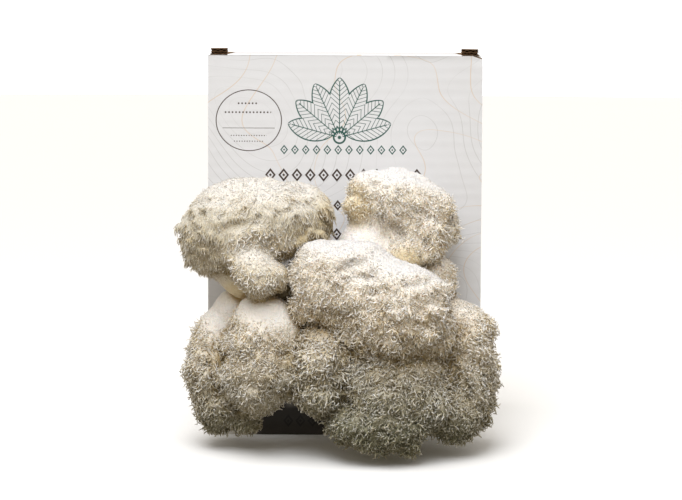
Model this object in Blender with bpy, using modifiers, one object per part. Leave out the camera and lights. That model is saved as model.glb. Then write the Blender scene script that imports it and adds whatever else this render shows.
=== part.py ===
"""Lions mane mushroom grow kit: a carton with a bagged sawdust block and the fruit body that grows from it.

Metres, +Z up. The origin is the middle of the carton's bottom face and the carton's front faces -Y.
"""

from collections import namedtuple

import bmesh
import bpy
from mathutils import Matrix, Vector, noise
from mathutils.bvhtree import BVHTree

# Carton
CARTON_WIDTH = 0.172
CARTON_DEPTH = 0.120
CARTON_HEIGHT = 0.241
BOARD = 0.003
SIDE_WALL = 0.0108
SIDE_INSET = 0.001
FRONT_Y = -CARTON_DEPTH / 2

# Raw ends of the doubled side walls that stand above the top panel at its front corners
LUG_LEFT_X = {"left": -0.0847, "right": 0.0729}
LUG_WIDTH = 0.0108
LUG_DEPTH = 0.012
LUG_SET_BACK = 0.001
LUG_RISE = 0.0036

# Window torn out of the front panel, and the slit in the film behind it
WINDOW_WIDTH = 0.076
WINDOW_HEIGHT = 0.084
WINDOW_Z = 0.068
WINDOW_RADIUS = 0.008
WINDOW_SEGMENTS = 3
SLIT_MARGIN = 0.002

# Bag and block
GAP = 0.0003
FILM = 0.0005
BLOCK_HEIGHT = 0.205
BLOCK_RADIUS = 0.010
BLOCK_SEGMENTS = 4
BAG_RIDGE_Z = 0.236
BAG_RIDGE_DEPTH = 0.006

# How far the cutters reach past the wall that they open
WINDOW_CUT = 2 * BOARD
SLIT_CUT = 4 * FILM

# Fruit body
VOXEL = 0.0028
SMOOTH_STEPS = 5
SMOOTH_FACTOR = 0.5
SWELL_SCALE = 0.020
SWELL_HEIGHT = 0.0016
HEAD_GAP = 0.0015
TRUNK_FACES = 260
TRUNK_ROOM = 1.6 * GAP
PLUG_PROUD = 4 * GAP
TUFT_HEIGHT = 0.0066
TUFT_MARGIN = 1.15
TUFT_DROOP = 0.35
TUFT_STEEPNESS = 0.9
LEAST_TUFT_FACE = 12e-6
SKIN_BELOW_TIPS = 0.0042
CLEAR_OF_CARTON = 0.0006
CLEAR_OF_FLOOR = 0.0022

# Fineness of the balls that the lobes and the necks start from, and the balls along a neck
LOBE_SUBDIVISIONS = 3
NECK_SUBDIVISIONS = 2
NECK_BALLS = 5

# How steeply the skin fills out inside a smooth zone
BALD_EDGE = 3.0

# A point within this many squared half sizes of a lobe's middle belongs to the lobe
LOBE_REACH = 1.25

# A lobe's place across, out from the carton's face and up, then its half sizes the same way
Lobe = namedtuple("Lobe", "x out z half_x half_out half_z")

# A point on a neck and the neck's radius there
Neck = namedtuple("Neck", "x out z radius")

# A smooth zone with no spines
Bald = namedtuple("Bald", "x out z radius")

TRUNK_LOBES = (
    Lobe(0.000, 0.018, 0.074, 0.040, 0.022, 0.042),
    Lobe(0.004, 0.034, 0.080, 0.027, 0.020, 0.028),
)

# Heads in the order that they are fitted: each is cut back from those before it
HEADS = {
    "head_center": {
        "faces": 480,
        "lobes": (
            Lobe(-0.009, 0.076, 0.105, 0.026, 0.029, 0.029),
            Lobe(0.010, 0.074, 0.106, 0.024, 0.027, 0.028),
            Lobe(0.030, 0.080, 0.088, 0.039, 0.035, 0.034),
        ),
        "neck": (
            Neck(0.012, 0.066, 0.092, 0.018),
            Neck(0.009, 0.050, 0.086, 0.014),
        ),
        "bald": (),
    },
    "head_lower_center": {
        "faces": 440,
        "lobes": (
            Lobe(-0.012, 0.074, 0.052, 0.018, 0.026, 0.028),
            Lobe(0.030, 0.078, 0.041, 0.033, 0.031, 0.024),
            Lobe(0.024, 0.083, 0.0225, 0.032, 0.028, 0.0195),
            Lobe(0.003, 0.080, 0.0200, 0.0150, 0.020, 0.0150),
        ),
        "neck": (
            Neck(0.008, 0.066, 0.050, 0.016),
            Neck(0.004, 0.044, 0.060, 0.012),
        ),
        "bald": (),
    },
    "head_center_left": {
        "faces": 330,
        "lobes": (
            Lobe(-0.050, 0.064, 0.069, 0.023, 0.027, 0.027),
            Lobe(-0.050, 0.068, 0.054, 0.0245, 0.029, 0.026),
        ),
        "neck": (
            Neck(-0.042, 0.052, 0.068, 0.015),
            Neck(-0.028, 0.034, 0.070, 0.012),
        ),
        "bald": (Bald(-0.046, 0.066, 0.100, 0.022),),
    },
    "head_right": {
        "faces": 390,
        "lobes": (
            Lobe(0.072, 0.044, 0.056, 0.024, 0.037, 0.037),
            Lobe(0.0765, 0.048, 0.037, 0.0190, 0.031, 0.031),
            Lobe(0.066, 0.068, 0.027, 0.021, 0.022, 0.019),
        ),
        "neck": (
            Neck(0.062, 0.036, 0.058, 0.018),
            Neck(0.040, 0.024, 0.066, 0.014),
        ),
        "bald": (Bald(0.076, 0.030, 0.088, 0.010),),
    },
    "head_upper_left": {
        "faces": 520,
        "lobes": (
            Lobe(-0.073, 0.045, 0.1325, 0.0312, 0.036, 0.0310),
            Lobe(-0.046, 0.047, 0.140, 0.033, 0.037, 0.0265),
            Lobe(-0.025, 0.044, 0.141, 0.021, 0.030, 0.019),
            Lobe(-0.052, 0.070, 0.112, 0.017, 0.016, 0.016),
        ),
        "neck": (
            Neck(-0.060, 0.050, 0.112, 0.014),
            Neck(-0.044, 0.046, 0.100, 0.011),
            Neck(-0.024, 0.036, 0.092, 0.012),
        ),
        "bald": (
            Bald(-0.066, 0.050, 0.098, 0.013),
            Bald(-0.040, 0.044, 0.094, 0.014),
        ),
    },
    "head_upper_right": {
        "faces": 400,
        "lobes": (
            Lobe(0.027, 0.033, 0.152, 0.029, 0.030, 0.020),
            Lobe(0.048, 0.033, 0.142, 0.0225, 0.028, 0.024),
            Lobe(0.056, 0.040, 0.128, 0.0150, 0.018, 0.0150),
            Lobe(0.035, 0.046, 0.124, 0.0125, 0.015, 0.0145),
        ),
        "neck": (
            Neck(0.018, 0.032, 0.138, 0.014),
            Neck(0.014, 0.032, 0.122, 0.012),
            Neck(0.009, 0.030, 0.106, 0.013),
        ),
        "bald": (
            Bald(0.012, 0.036, 0.122, 0.018),
            Bald(0.034, 0.046, 0.112, 0.013),
        ),
    },
    "head_left": {
        "faces": 350,
        "lobes": (
            Lobe(-0.0815, 0.036, 0.0495, 0.0200, 0.033, 0.0270),
            Lobe(-0.0780, 0.038, 0.0310, 0.0190, 0.031, 0.0260),
            Lobe(-0.064, 0.045, 0.0185, 0.0135, 0.018, 0.0115),
        ),
        "neck": (
            Neck(-0.079, 0.036, 0.070, 0.013),
            Neck(-0.062, 0.032, 0.082, 0.010),
            Neck(-0.036, 0.022, 0.080, 0.011),
        ),
        "bald": (Bald(-0.066, 0.034, 0.086, 0.014),),
    },
    "head_back_right": {
        "faces": 130,
        "lobes": (Lobe(0.060, 0.034, 0.1025, 0.0135, 0.017, 0.0130),),
        "neck": (
            Neck(0.052, 0.030, 0.098, 0.010),
            Neck(0.032, 0.022, 0.090, 0.010),
        ),
        "bald": (),
    },
}

# Base colour, roughness and metallic of each material
FINISHES = {
    "carton": ((0.72, 0.73, 0.74), 0.62, 0.0),
    "grow_bag": ((0.80, 0.82, 0.82), 0.30, 0.0),
    "substrate_block": ((0.36, 0.24, 0.14), 0.95, 0.0),
    "mushroom_base": ((0.82, 0.76, 0.64), 0.70, 0.0),
    "head": ((0.84, 0.78, 0.68), 0.80, 0.0),
}


def clear_scene():
    """Remove every object that the scene starts with."""
    for obj in list(bpy.data.objects):
        bpy.data.objects.remove(obj, do_unlink=True)


def new_collection(name):
    """Make a collection and link it to the scene."""
    collection = bpy.data.collections.new(name)
    bpy.context.scene.collection.children.link(collection)
    return collection


def new_material(name, finish):
    """Make a Principled material from a base colour, a roughness and a metallic value."""
    color, roughness, metallic = finish
    material = bpy.data.materials.new(name)
    material.use_nodes = True
    shader = material.node_tree.nodes["Principled BSDF"]
    shader.inputs["Base Color"].default_value = (*color, 1.0)
    shader.inputs["Roughness"].default_value = roughness
    shader.inputs["Metallic"].default_value = metallic
    material.diffuse_color = (*color, 1.0)
    return material


def object_from(bm, name, collection):
    """Turn a bmesh into a named object in a collection."""
    mesh = bpy.data.meshes.new(name)
    bm.to_mesh(mesh)
    bm.free()
    obj = bpy.data.objects.new(name, mesh)
    collection.objects.link(obj)
    return obj


def box(name, low, high, collection):
    """A box between its lowest and highest corners."""
    low, high = Vector(low), Vector(high)
    size = high - low
    bm = bmesh.new()
    bmesh.ops.create_cube(bm, size=1.0)
    bmesh.ops.scale(bm, vec=size, verts=bm.verts)
    bmesh.ops.translate(bm, vec=(low + high) / 2, verts=bm.verts)
    return object_from(bm, name, collection)


def round_edges_along(obj, axis, radius, segments):
    """Round the edges of a box that run along one axis."""
    bm = bmesh.new()
    bm.from_mesh(obj.data)
    along = [
        edge
        for edge in bm.edges
        if abs((edge.verts[0].co - edge.verts[1].co).normalized()[axis]) > 0.99
    ]
    bmesh.ops.bevel(bm, geom=along, offset=radius, segments=segments, profile=0.5, affect="EDGES")
    bm.to_mesh(obj.data)
    bm.free()


def as_cutter(obj):
    """Mark an object as a cutter, which is no part of the kit."""
    obj.hide_render = True
    obj.display_type = "WIRE"
    return obj


def boolean(obj, other, operation):
    """Add an exact Boolean modifier."""
    modifier = obj.modifiers.new(operation.title() + " " + other.name, "BOOLEAN")
    modifier.operation = operation
    modifier.solver = "EXACT"
    modifier.object = other
    return modifier


def baked_mesh(obj):
    """The object's mesh with its modifiers applied."""
    graph = bpy.context.evaluated_depsgraph_get()
    graph.update()
    return bpy.data.meshes.new_from_object(obj.evaluated_get(graph), depsgraph=graph)


def apply_modifiers(obj):
    """Replace an object's mesh with its evaluated one."""
    mesh = baked_mesh(obj)
    old = obj.data
    obj.modifiers.clear()
    obj.data = mesh
    bpy.data.meshes.remove(old)


def outward(out):
    """The y of a point that stands this far out from the carton's face."""
    return FRONT_Y - out


def add_ball(bm, center, halves, subdivisions):
    """Add an icosphere stretched to its half sizes."""
    matrix = Matrix.Translation(center) @ Matrix.Diagonal((*halves, 1.0))
    bmesh.ops.create_icosphere(bm, subdivisions=subdivisions, radius=1.0, matrix=matrix)


def add_neck(bm, points):
    """Add a run of balls that follows a neck's points, close enough to merge into a stalk."""
    for start, end in zip(points, points[1:]):
        for step in range(NECK_BALLS + 1):
            share = step / NECK_BALLS
            x, out, z, radius = (a + (b - a) * share for a, b in zip(start, end))
            add_ball(bm, (x, outward(out), z), (radius,) * 3, NECK_SUBDIVISIONS)


def lobed_form(name, lobes, neck, bald, shrink, collection):
    """Grow lobes and a neck into one closed skin, with soft swellings over it."""
    bm = bmesh.new()
    for lobe in lobes:
        halves = (lobe.half_x - shrink, lobe.half_out - shrink, lobe.half_z - shrink)
        add_ball(bm, (lobe.x, outward(lobe.out), lobe.z), halves, LOBE_SUBDIVISIONS)
    if neck:
        add_neck(bm, neck)
    obj = object_from(bm, name, collection)
    remesh = obj.modifiers.new("Skin", "REMESH")
    remesh.mode = "VOXEL"
    remesh.voxel_size = VOXEL
    smooth = obj.modifiers.new("Soften", "SMOOTH")
    smooth.factor = SMOOTH_FACTOR
    smooth.iterations = SMOOTH_STEPS
    apply_modifiers(obj)
    swell(obj.data, len(name))
    fill_out(obj.data, bald, shrink)
    return obj


def fill_out(mesh, zones, height):
    """Bring the skin out to the full size where no spines will stand on it."""
    normals = [vertex.normal.copy() for vertex in mesh.vertices]
    for vertex, normal in zip(mesh.vertices, normals):
        share = 0.0
        for zone in zones:
            distance = (vertex.co - Vector((zone.x, outward(zone.out), zone.z))).length
            share = max(share, 1.0 - distance / zone.radius)
        vertex.co += normal * (height * min(1.0, BALD_EDGE * max(0.0, share)))
    mesh.update()


def swell(mesh, seed):
    """Push the skin in and out along its normals by a slow noise."""
    offset = Vector((seed, seed * 0.37, seed * 0.71))
    normals = [vertex.normal.copy() for vertex in mesh.vertices]
    for vertex, normal in zip(mesh.vertices, normals):
        height = noise.noise(vertex.co / SWELL_SCALE + offset)
        vertex.co += normal * (height * SWELL_HEIGHT)
    mesh.update()


def grown_copy(obj, amount, cutters):
    """A copy of a form that stands proud of it all over, to cut its neighbours back."""
    copy = obj.copy()
    copy.data = obj.data.copy()
    copy.name = obj.name + ".room"
    cutters.objects.link(copy)
    displace = copy.modifiers.new("Grow", "DISPLACE")
    displace.mid_level = 0.0
    displace.strength = amount
    return as_cutter(copy)


def thin_out(obj, faces):
    """Collapse the skin to about this many triangles."""
    count = sum(len(polygon.vertices) - 2 for polygon in obj.data.polygons)
    decimate = obj.modifiers.new("Thin out", "DECIMATE")
    decimate.ratio = min(1.0, faces / count)
    decimate.use_collapse_triangulate = True
    apply_modifiers(obj)


def keep_largest_piece(obj):
    """Drop the crumbs that a cut leaves beside the main piece."""
    bm = bmesh.new()
    bm.from_mesh(obj.data)
    bm.verts.ensure_lookup_table()
    unseen = set(bm.verts)
    groups = []
    while unseen:
        stack = [unseen.pop()]
        group = set(stack)
        while stack:
            vertex = stack.pop()
            for edge in vertex.link_edges:
                other = edge.other_vert(vertex)
                if other in unseen:
                    unseen.discard(other)
                    group.add(other)
                    stack.append(other)
        groups.append(group)
    groups.sort(key=len)
    crumbs = [vertex for group in groups[:-1] for vertex in group]
    bmesh.ops.delete(bm, geom=crumbs, context="VERTS")
    bm.to_mesh(obj.data)
    bm.free()


def tree_of(objects):
    """One search tree over the faces of several objects."""
    vertices, faces = [], []
    for obj in objects:
        start = len(vertices)
        vertices += [vertex.co.copy() for vertex in obj.data.vertices]
        faces += [[start + index for index in polygon.vertices] for polygon in obj.data.polygons]
    return BVHTree.FromPolygons(vertices, faces)


def is_bald(point, zones):
    """Whether a point lies in one of a head's smooth zones."""
    for zone in zones:
        if (point - Vector((zone.x, outward(zone.out), zone.z))).length < zone.radius:
            return True
    return False


def on_neck(point, neck, lobes):
    """Whether a point is on the neck's own skin and not on a lobe's."""
    reach = TUFT_HEIGHT
    near_neck = any(
        (point - Vector((step.x, outward(step.out), step.z))).length < step.radius + reach
        for step in neck[1:]
    )
    for lobe in lobes:
        across = (point.x - lobe.x) / (lobe.half_x - SKIN_BELOW_TIPS)
        along = (point.y - outward(lobe.out)) / (lobe.half_out - SKIN_BELOW_TIPS)
        up = (point.z - lobe.z) / (lobe.half_z - SKIN_BELOW_TIPS)
        if across * across + along * along + up * up < LOBE_REACH:
            return False
    return near_neck


def meets(face, center, tip, tree):
    """Whether a tuft on a face, made a little larger, would run into a neighbour."""
    corners = [center + (vertex.co - center) * TUFT_MARGIN for vertex in face.verts]
    corners.append(center + (tip - center) * TUFT_MARGIN)
    sides = ((0, 1, 3), (1, 2, 3), (2, 0, 3))
    return bool(BVHTree.FromPolygons(corners, sides).overlap(tree))


def raise_tufts(obj, head, neighbours):
    """Raise a pointed tuft of spines on each free face of a head."""
    bm = bmesh.new()
    bm.from_mesh(obj.data)
    bmesh.ops.triangulate(bm, faces=bm.faces)
    tree = tree_of(neighbours)
    down = Vector((0.0, 0.0, -1.0))
    tips = {}
    for face in list(bm.faces):
        center = face.calc_center_median()
        area = face.calc_area()
        if area < LEAST_TUFT_FACE or is_bald(center, head["bald"]):
            continue
        if on_neck(center, head["neck"], head["lobes"]):
            continue
        height = min(TUFT_HEIGHT, TUFT_STEEPNESS * area**0.5)
        tip = center + (face.normal + down * TUFT_DROOP).normalized() * height
        too_low = tip.z < CLEAR_OF_FLOOR
        in_carton = tip.y > FRONT_Y - CLEAR_OF_CARTON and abs(tip.x) < CARTON_WIDTH / 2 + TUFT_HEIGHT
        if too_low or in_carton or meets(face, center, tip, tree):
            continue
        tips[face] = tip
    for face, tip in tips.items():
        poked = bmesh.ops.poke(bm, faces=[face])
        poked["verts"][0].co = tip
    bmesh.ops.recalc_face_normals(bm, faces=bm.faces)
    bm.to_mesh(obj.data)
    bm.free()


def make_carton(collection, cutters):
    """The folded carton: panels all round, doubled side walls with raw ends on top, and a window."""
    half_width = CARTON_WIDTH / 2
    half_depth = CARTON_DEPTH / 2
    carton = box(
        "carton",
        (-half_width + SIDE_INSET, -half_depth, 0.0),
        (half_width - SIDE_INSET, half_depth, CARTON_HEIGHT),
        collection,
    )
    for side, y_low in (("front", -half_depth), ("back", half_depth - BOARD)):
        panel = box(
            side + "_panel",
            (-half_width, y_low, 0.0),
            (half_width, y_low + BOARD, CARTON_HEIGHT),
            cutters,
        )
        boolean(carton, as_cutter(panel), "UNION")
    for side, left_x in LUG_LEFT_X.items():
        lug = box(
            side + "_lug",
            (left_x, -half_depth + LUG_SET_BACK, CARTON_HEIGHT - BOARD / 2),
            (left_x + LUG_WIDTH, -half_depth + LUG_SET_BACK + LUG_DEPTH, CARTON_HEIGHT + LUG_RISE),
            cutters,
        )
        boolean(carton, as_cutter(lug), "UNION")
    inner_half = half_width - SIDE_INSET - SIDE_WALL
    inside = box(
        "inside",
        (-inner_half, -half_depth + BOARD, BOARD),
        (inner_half, half_depth - BOARD, CARTON_HEIGHT - BOARD),
        cutters,
    )
    boolean(carton, as_cutter(inside), "DIFFERENCE")
    window = box(
        "window",
        (-WINDOW_WIDTH / 2, -half_depth - BOARD, WINDOW_Z - WINDOW_HEIGHT / 2),
        (WINDOW_WIDTH / 2, -half_depth + WINDOW_CUT, WINDOW_Z + WINDOW_HEIGHT / 2),
        cutters,
    )
    round_edges_along(window, 1, WINDOW_RADIUS, WINDOW_SEGMENTS)
    boolean(carton, as_cutter(window), "DIFFERENCE")
    return carton


def make_block(collection):
    """The sawdust block, with rounded upright edges."""
    half_x = CARTON_WIDTH / 2 - SIDE_INSET - SIDE_WALL - 2 * GAP - FILM
    half_y = CARTON_DEPTH / 2 - BOARD - 2 * GAP - FILM
    low_z = BOARD + 2 * GAP + FILM
    high_z = low_z + BLOCK_HEIGHT
    block = box("substrate_block", (-half_x, -half_y, low_z), (half_x, half_y, high_z), collection)
    round_edges_along(block, 2, BLOCK_RADIUS, BLOCK_SEGMENTS)
    return block


def make_bag(collection, cutters):
    """The film bag: close round the block, drawn in to a ridge above it, with a slit at the window."""
    half_x = CARTON_WIDTH / 2 - SIDE_INSET - SIDE_WALL - GAP
    half_y = CARTON_DEPTH / 2 - BOARD - GAP
    low_z = BOARD + GAP
    shoulder_z = BOARD + 3 * GAP + 2 * FILM + BLOCK_HEIGHT
    bag = box("grow_bag", (-half_x, -half_y, low_z), (half_x, half_y, shoulder_z), collection)
    round_edges_along(bag, 2, BLOCK_RADIUS + GAP + FILM, BLOCK_SEGMENTS)
    bm = bmesh.new()
    bm.from_mesh(bag.data)
    lid = [face for face in bm.faces if face.normal.z > 0.9]
    raised = bmesh.ops.extrude_face_region(bm, geom=lid)
    ridge = [item for item in raised["geom"] if isinstance(item, bmesh.types.BMVert)]
    bmesh.ops.translate(bm, vec=(0.0, 0.0, BAG_RIDGE_Z - shoulder_z), verts=ridge)
    bmesh.ops.scale(bm, vec=(1.0, BAG_RIDGE_DEPTH / (2 * half_y), 1.0), verts=ridge)
    bmesh.ops.delete(bm, geom=lid, context="FACES_ONLY")
    bmesh.ops.recalc_face_normals(bm, faces=bm.faces)
    bm.to_mesh(bag.data)
    bm.free()
    film = bag.modifiers.new("Film", "SOLIDIFY")
    film.thickness = FILM
    film.offset = -1.0
    film.use_even_offset = True
    slit = box(
        "slit",
        (-WINDOW_WIDTH / 2 + SLIT_MARGIN, -half_y - BOARD, WINDOW_Z - WINDOW_HEIGHT / 2 + SLIT_MARGIN),
        (WINDOW_WIDTH / 2 - SLIT_MARGIN, -half_y + SLIT_CUT, WINDOW_Z + WINDOW_HEIGHT / 2 - SLIT_MARGIN),
        cutters,
    )
    round_edges_along(slit, 1, WINDOW_RADIUS, WINDOW_SEGMENTS)
    boolean(bag, as_cutter(slit), "DIFFERENCE")
    return bag


def make_trunk(collection, cutters):
    """The common trunk: a plug through the window, and the swelling in front that the necks leave."""
    trunk = lobed_form("mushroom_base", TRUNK_LOBES, (), (), 0.0, collection)
    thin_out(trunk, TRUNK_FACES)
    behind = box(
        "carton_face",
        (-CARTON_WIDTH, FRONT_Y - GAP, -CARTON_HEIGHT),
        (CARTON_WIDTH, -FRONT_Y, CARTON_HEIGHT),
        cutters,
    )
    boolean(trunk, as_cutter(behind), "DIFFERENCE")
    margin = SLIT_MARGIN + GAP
    block_front = FRONT_Y + BOARD + 2 * GAP + FILM
    plug = box(
        "plug",
        (-WINDOW_WIDTH / 2 + margin, FRONT_Y - PLUG_PROUD, WINDOW_Z - WINDOW_HEIGHT / 2 + margin),
        (WINDOW_WIDTH / 2 - margin, block_front - GAP, WINDOW_Z + WINDOW_HEIGHT / 2 - margin),
        cutters,
    )
    round_edges_along(plug, 1, WINDOW_RADIUS, WINDOW_SEGMENTS)
    boolean(trunk, as_cutter(plug), "UNION")
    apply_modifiers(trunk)
    return trunk


def make_heads(trunk, collection, cutters):
    """Every head with its neck, fitted round the trunk, the carton and the heads before it."""
    carton_room = box(
        "carton_room",
        (-CARTON_WIDTH / 2 - HEAD_GAP, FRONT_Y - CLEAR_OF_CARTON, -CARTON_HEIGHT),
        (CARTON_WIDTH / 2 + HEAD_GAP, -FRONT_Y, CARTON_HEIGHT),
        cutters,
    )
    as_cutter(carton_room)
    trunk_room = grown_copy(trunk, TRUNK_ROOM, cutters)
    heads = {}
    rooms = []
    for name, head in HEADS.items():
        obj = lobed_form(name, head["lobes"], head["neck"], head["bald"], SKIN_BELOW_TIPS, collection)
        for room in rooms:
            boolean(obj, room, "DIFFERENCE")
        apply_modifiers(obj)
        keep_largest_piece(obj)
        rooms.append(grown_copy(obj, HEAD_GAP, cutters))
        thin_out(obj, head["faces"])
        heads[name] = obj
    for name, obj in heads.items():
        boolean(obj, carton_room, "DIFFERENCE")
        boolean(obj, trunk_room, "DIFFERENCE")
        apply_modifiers(obj)
        keep_largest_piece(obj)
    for name, obj in heads.items():
        others = [other for other in heads.values() if other is not obj] + [trunk]
        raise_tufts(obj, HEADS[name], others)
    return list(heads.values())


def main():
    """Build the whole kit."""
    clear_scene()
    kit = new_collection("mushroom_grow_kit")
    cutters = new_collection("cutters")
    carton = make_carton(kit, cutters)
    bag = make_bag(kit, cutters)
    block = make_block(kit)
    trunk = make_trunk(kit, cutters)
    heads = make_heads(trunk, kit, cutters)
    for obj in (carton, bag, block, trunk):
        obj.data.materials.append(new_material(obj.name, FINISHES[obj.name]))
    for obj in heads:
        obj.data.materials.append(new_material(obj.name, FINISHES["head"]))


main()
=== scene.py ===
import math
import random

import bmesh
import bpy
import numpy as np
from mathutils import Matrix, Quaternion, Vector, noise
from mathutils.bvhtree import BVHTree
from mathutils.kdtree import KDTree


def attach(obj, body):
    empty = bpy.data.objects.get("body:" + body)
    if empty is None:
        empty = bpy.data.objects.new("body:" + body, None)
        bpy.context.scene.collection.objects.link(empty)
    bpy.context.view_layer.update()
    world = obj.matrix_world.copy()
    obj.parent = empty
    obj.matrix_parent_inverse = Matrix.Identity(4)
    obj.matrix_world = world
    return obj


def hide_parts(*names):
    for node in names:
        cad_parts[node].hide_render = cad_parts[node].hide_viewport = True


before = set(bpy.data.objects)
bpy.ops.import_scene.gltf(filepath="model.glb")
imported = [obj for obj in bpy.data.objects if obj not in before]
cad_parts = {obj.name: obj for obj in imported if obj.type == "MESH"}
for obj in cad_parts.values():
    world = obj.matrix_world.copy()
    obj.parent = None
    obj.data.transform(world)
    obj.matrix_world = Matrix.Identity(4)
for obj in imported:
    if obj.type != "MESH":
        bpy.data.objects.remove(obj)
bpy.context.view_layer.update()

scene = bpy.context.scene
noise.seed_set(3)  # otherwise the noise vectors differ from run to run
frontY = -0.060  # the carton's front face
mm = 0.001


class Wire:
    # wraps one socket, so that maths on it reads as a plain expression
    def __init__(self, tree, socket=None):
        self.tree = tree
        self.socket = socket

    def add(self, kind, settings=None, sockets=None, out=0):
        # the one way a node is made: its type, its settings, then its sockets' values or links
        made = self.tree.nodes.new(kind)
        for key, value in (settings or {}).items():
            setattr(made, key, value)
        for key, value in (sockets or {}).items():
            if isinstance(value, Wire):
                self.tree.links.new(value.socket, made.inputs[key])
            else:
                made.inputs[key].default_value = value
        return Wire(self.tree, made.outputs[out] if len(made.outputs) else None)

    def also(self, name):  # another output of the same node
        return Wire(self.tree, self.socket.node.outputs[name])

    def maths(self, operation, *values):
        return self.add("ShaderNodeMath", {"operation": operation}, dict(enumerate(values)))

    __add__ = lambda self, other: self.maths("ADD", self, other)
    __sub__ = lambda self, other: self.maths("SUBTRACT", self, other)
    __rsub__ = lambda self, other: self.maths("SUBTRACT", other, self)
    __mul__ = lambda self, other: self.maths("MULTIPLY", self, other)
    __truediv__ = lambda self, other: self.maths("DIVIDE", self, other)
    __pow__ = lambda self, other: self.maths("POWER", self, other)
    __abs__ = lambda self: self.maths("ABSOLUTE", self)
    smaller = lambda self, other: self.maths("MINIMUM", self, other)
    larger = lambda self, other: self.maths("MAXIMUM", self, other)

    def vectorSum(self, other):
        return self.add("ShaderNodeVectorMath", {"operation": "ADD"}, {0: self, 1: other})

    def step(self, low, high):  # 0 at low, 1 at high, smooth between
        return self.add("ShaderNodeMapRange", {"interpolation_type": "SMOOTHSTEP"},
                        {"Value": self, "From Min": low, "From Max": high})

    def mix(self, first, second):  # a colour between two, by this value
        return self.add("ShaderNodeMix", {"data_type": "RGBA"}, {0: self, 6: first, 7: second}, 2)


def rgb(red, green, blue):
    return (red, green, blue, 1.0)


def newMaterial(name, roughness, specular, others=()):
    material = bpy.data.materials.new(name)
    material.use_nodes = True
    shader = material.node_tree.nodes["Principled BSDF"]
    for key, value in {"Roughness": roughness, "Specular IOR Level": specular, **dict(others)}.items():
        shader.inputs[key].default_value = value
    return material, Wire(material.node_tree), shader


def feed(shader, name, wire):
    wire.tree.links.new(wire.socket, shader.inputs[name])


def attribute(sheet, name):
    return sheet.add("ShaderNodeAttribute", {"attribute_name": name}, out=2)


def objectPlace(sheet):
    return sheet.add("ShaderNodeTexCoord", out=3)


def flatPlace(sheet):  # the place on the unfolded board, then across and up on it
    flat = sheet.add("ShaderNodeUVMap", {"uv_map": "flat"})
    across = sheet.add("ShaderNodeSeparateXYZ", {}, {0: flat})
    return flat, across, across.also("Y")


def noiseOf(sheet, place, scale, detail=2.0, roughness=0.5):
    sockets = {"Vector": place, "Scale": scale, "Detail": detail, "Roughness": roughness}
    return sheet.add("ShaderNodeTexNoise", {}, sockets)


def roughen(sheet, shader, height, distance, strength=1.0):
    bump = sheet.add("ShaderNodeBump", {}, {"Strength": strength, "Distance": distance, "Height": height})
    feed(shader, "Normal", bump)


def objectFrom(data, name):
    obj = bpy.data.objects.new(name, data)
    scene.collection.objects.link(obj)
    return obj


cameraSettings = {
    "place": (0.0, -1.360, 0.262),
    "tiltDown": 4.43,  # degrees
    "roll": 0.26,
    "sensor": 36.0,
    "lens": 109.5,
    "shift": (-0.0056, -0.1004),
}

lightSettings = {
    "key": {"tilt": (15, 0, -40), "angle": 45, "strength": 1.60, "color": (0.985, 0.985, 1.0)},
    "window": {"place": (-0.07, -0.70, 0.76), "aim": (0.0, -0.08, 0.20), "size": 0.50, "spread": 100,
               "power": 1.70, "color": (0.94, 0.965, 1.0)},
    "sky": {"lowColor": (1.0, 0.88, 0.67), "highColor": (1.0, 0.945, 0.87), "low": 0.36, "high": 0.80,
            "span": (-0.1, 0.5)},  # dim and warm below, brighter above
    "floor": {"radius": 6.0, "sides": 64, "color": (0.84, 0.84, 0.835)},
    "backdrop": {"height": 4.0, "brightness": 1.3},
}


def makeCamera():
    data = bpy.data.cameras.new("camera")
    data.sensor_width = cameraSettings["sensor"]
    data.lens = cameraSettings["lens"]
    data.shift_x, data.shift_y = cameraSettings["shift"]
    camera = objectFrom(data, "camera")
    aim = Matrix.Rotation(math.radians(90 - cameraSettings["tiltDown"]), 4, "X")
    roll = Matrix.Rotation(math.radians(cameraSettings["roll"]), 4, "Z")
    camera.matrix_world = Matrix.Translation(cameraSettings["place"]) @ aim @ roll
    scene.camera = camera


def makeLights():
    values = lightSettings["key"]
    data = bpy.data.lights.new("key", "SUN")
    data.energy = values["strength"]
    data.angle = math.radians(values["angle"])
    data.color = values["color"]
    objectFrom(data, "key").rotation_euler = [math.radians(angle) for angle in values["tilt"]]
    values = lightSettings["window"]  # a soft light close by, so that it falls off towards the floor
    data = bpy.data.lights.new("window", "AREA")
    data.energy = values["power"]
    data.size = values["size"]
    data.spread = math.radians(values["spread"])
    data.color = values["color"]
    window = objectFrom(data, "window")
    window.location = values["place"]
    window.rotation_euler = (Vector(values["aim"]) - window.location).to_track_quat("-Z", "Y").to_euler()
    values = lightSettings["sky"]
    world = bpy.data.worlds.new("studio")
    world.use_nodes = True
    shade = world.node_tree.nodes["Background"]
    sheet = Wire(world.node_tree)
    up = sheet.add("ShaderNodeSeparateXYZ", {}, {0: sheet.add("ShaderNodeTexCoord")}, 2)
    lift = up.step(*values["span"])
    feed(shade, "Strength", lift * (values["high"] - values["low"]) + values["low"])
    feed(shade, "Color", lift.mix(rgb(*values["lowColor"]), rgb(*values["highColor"])))
    scene.world = world
    scene.view_settings.view_transform = "Standard"


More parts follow.
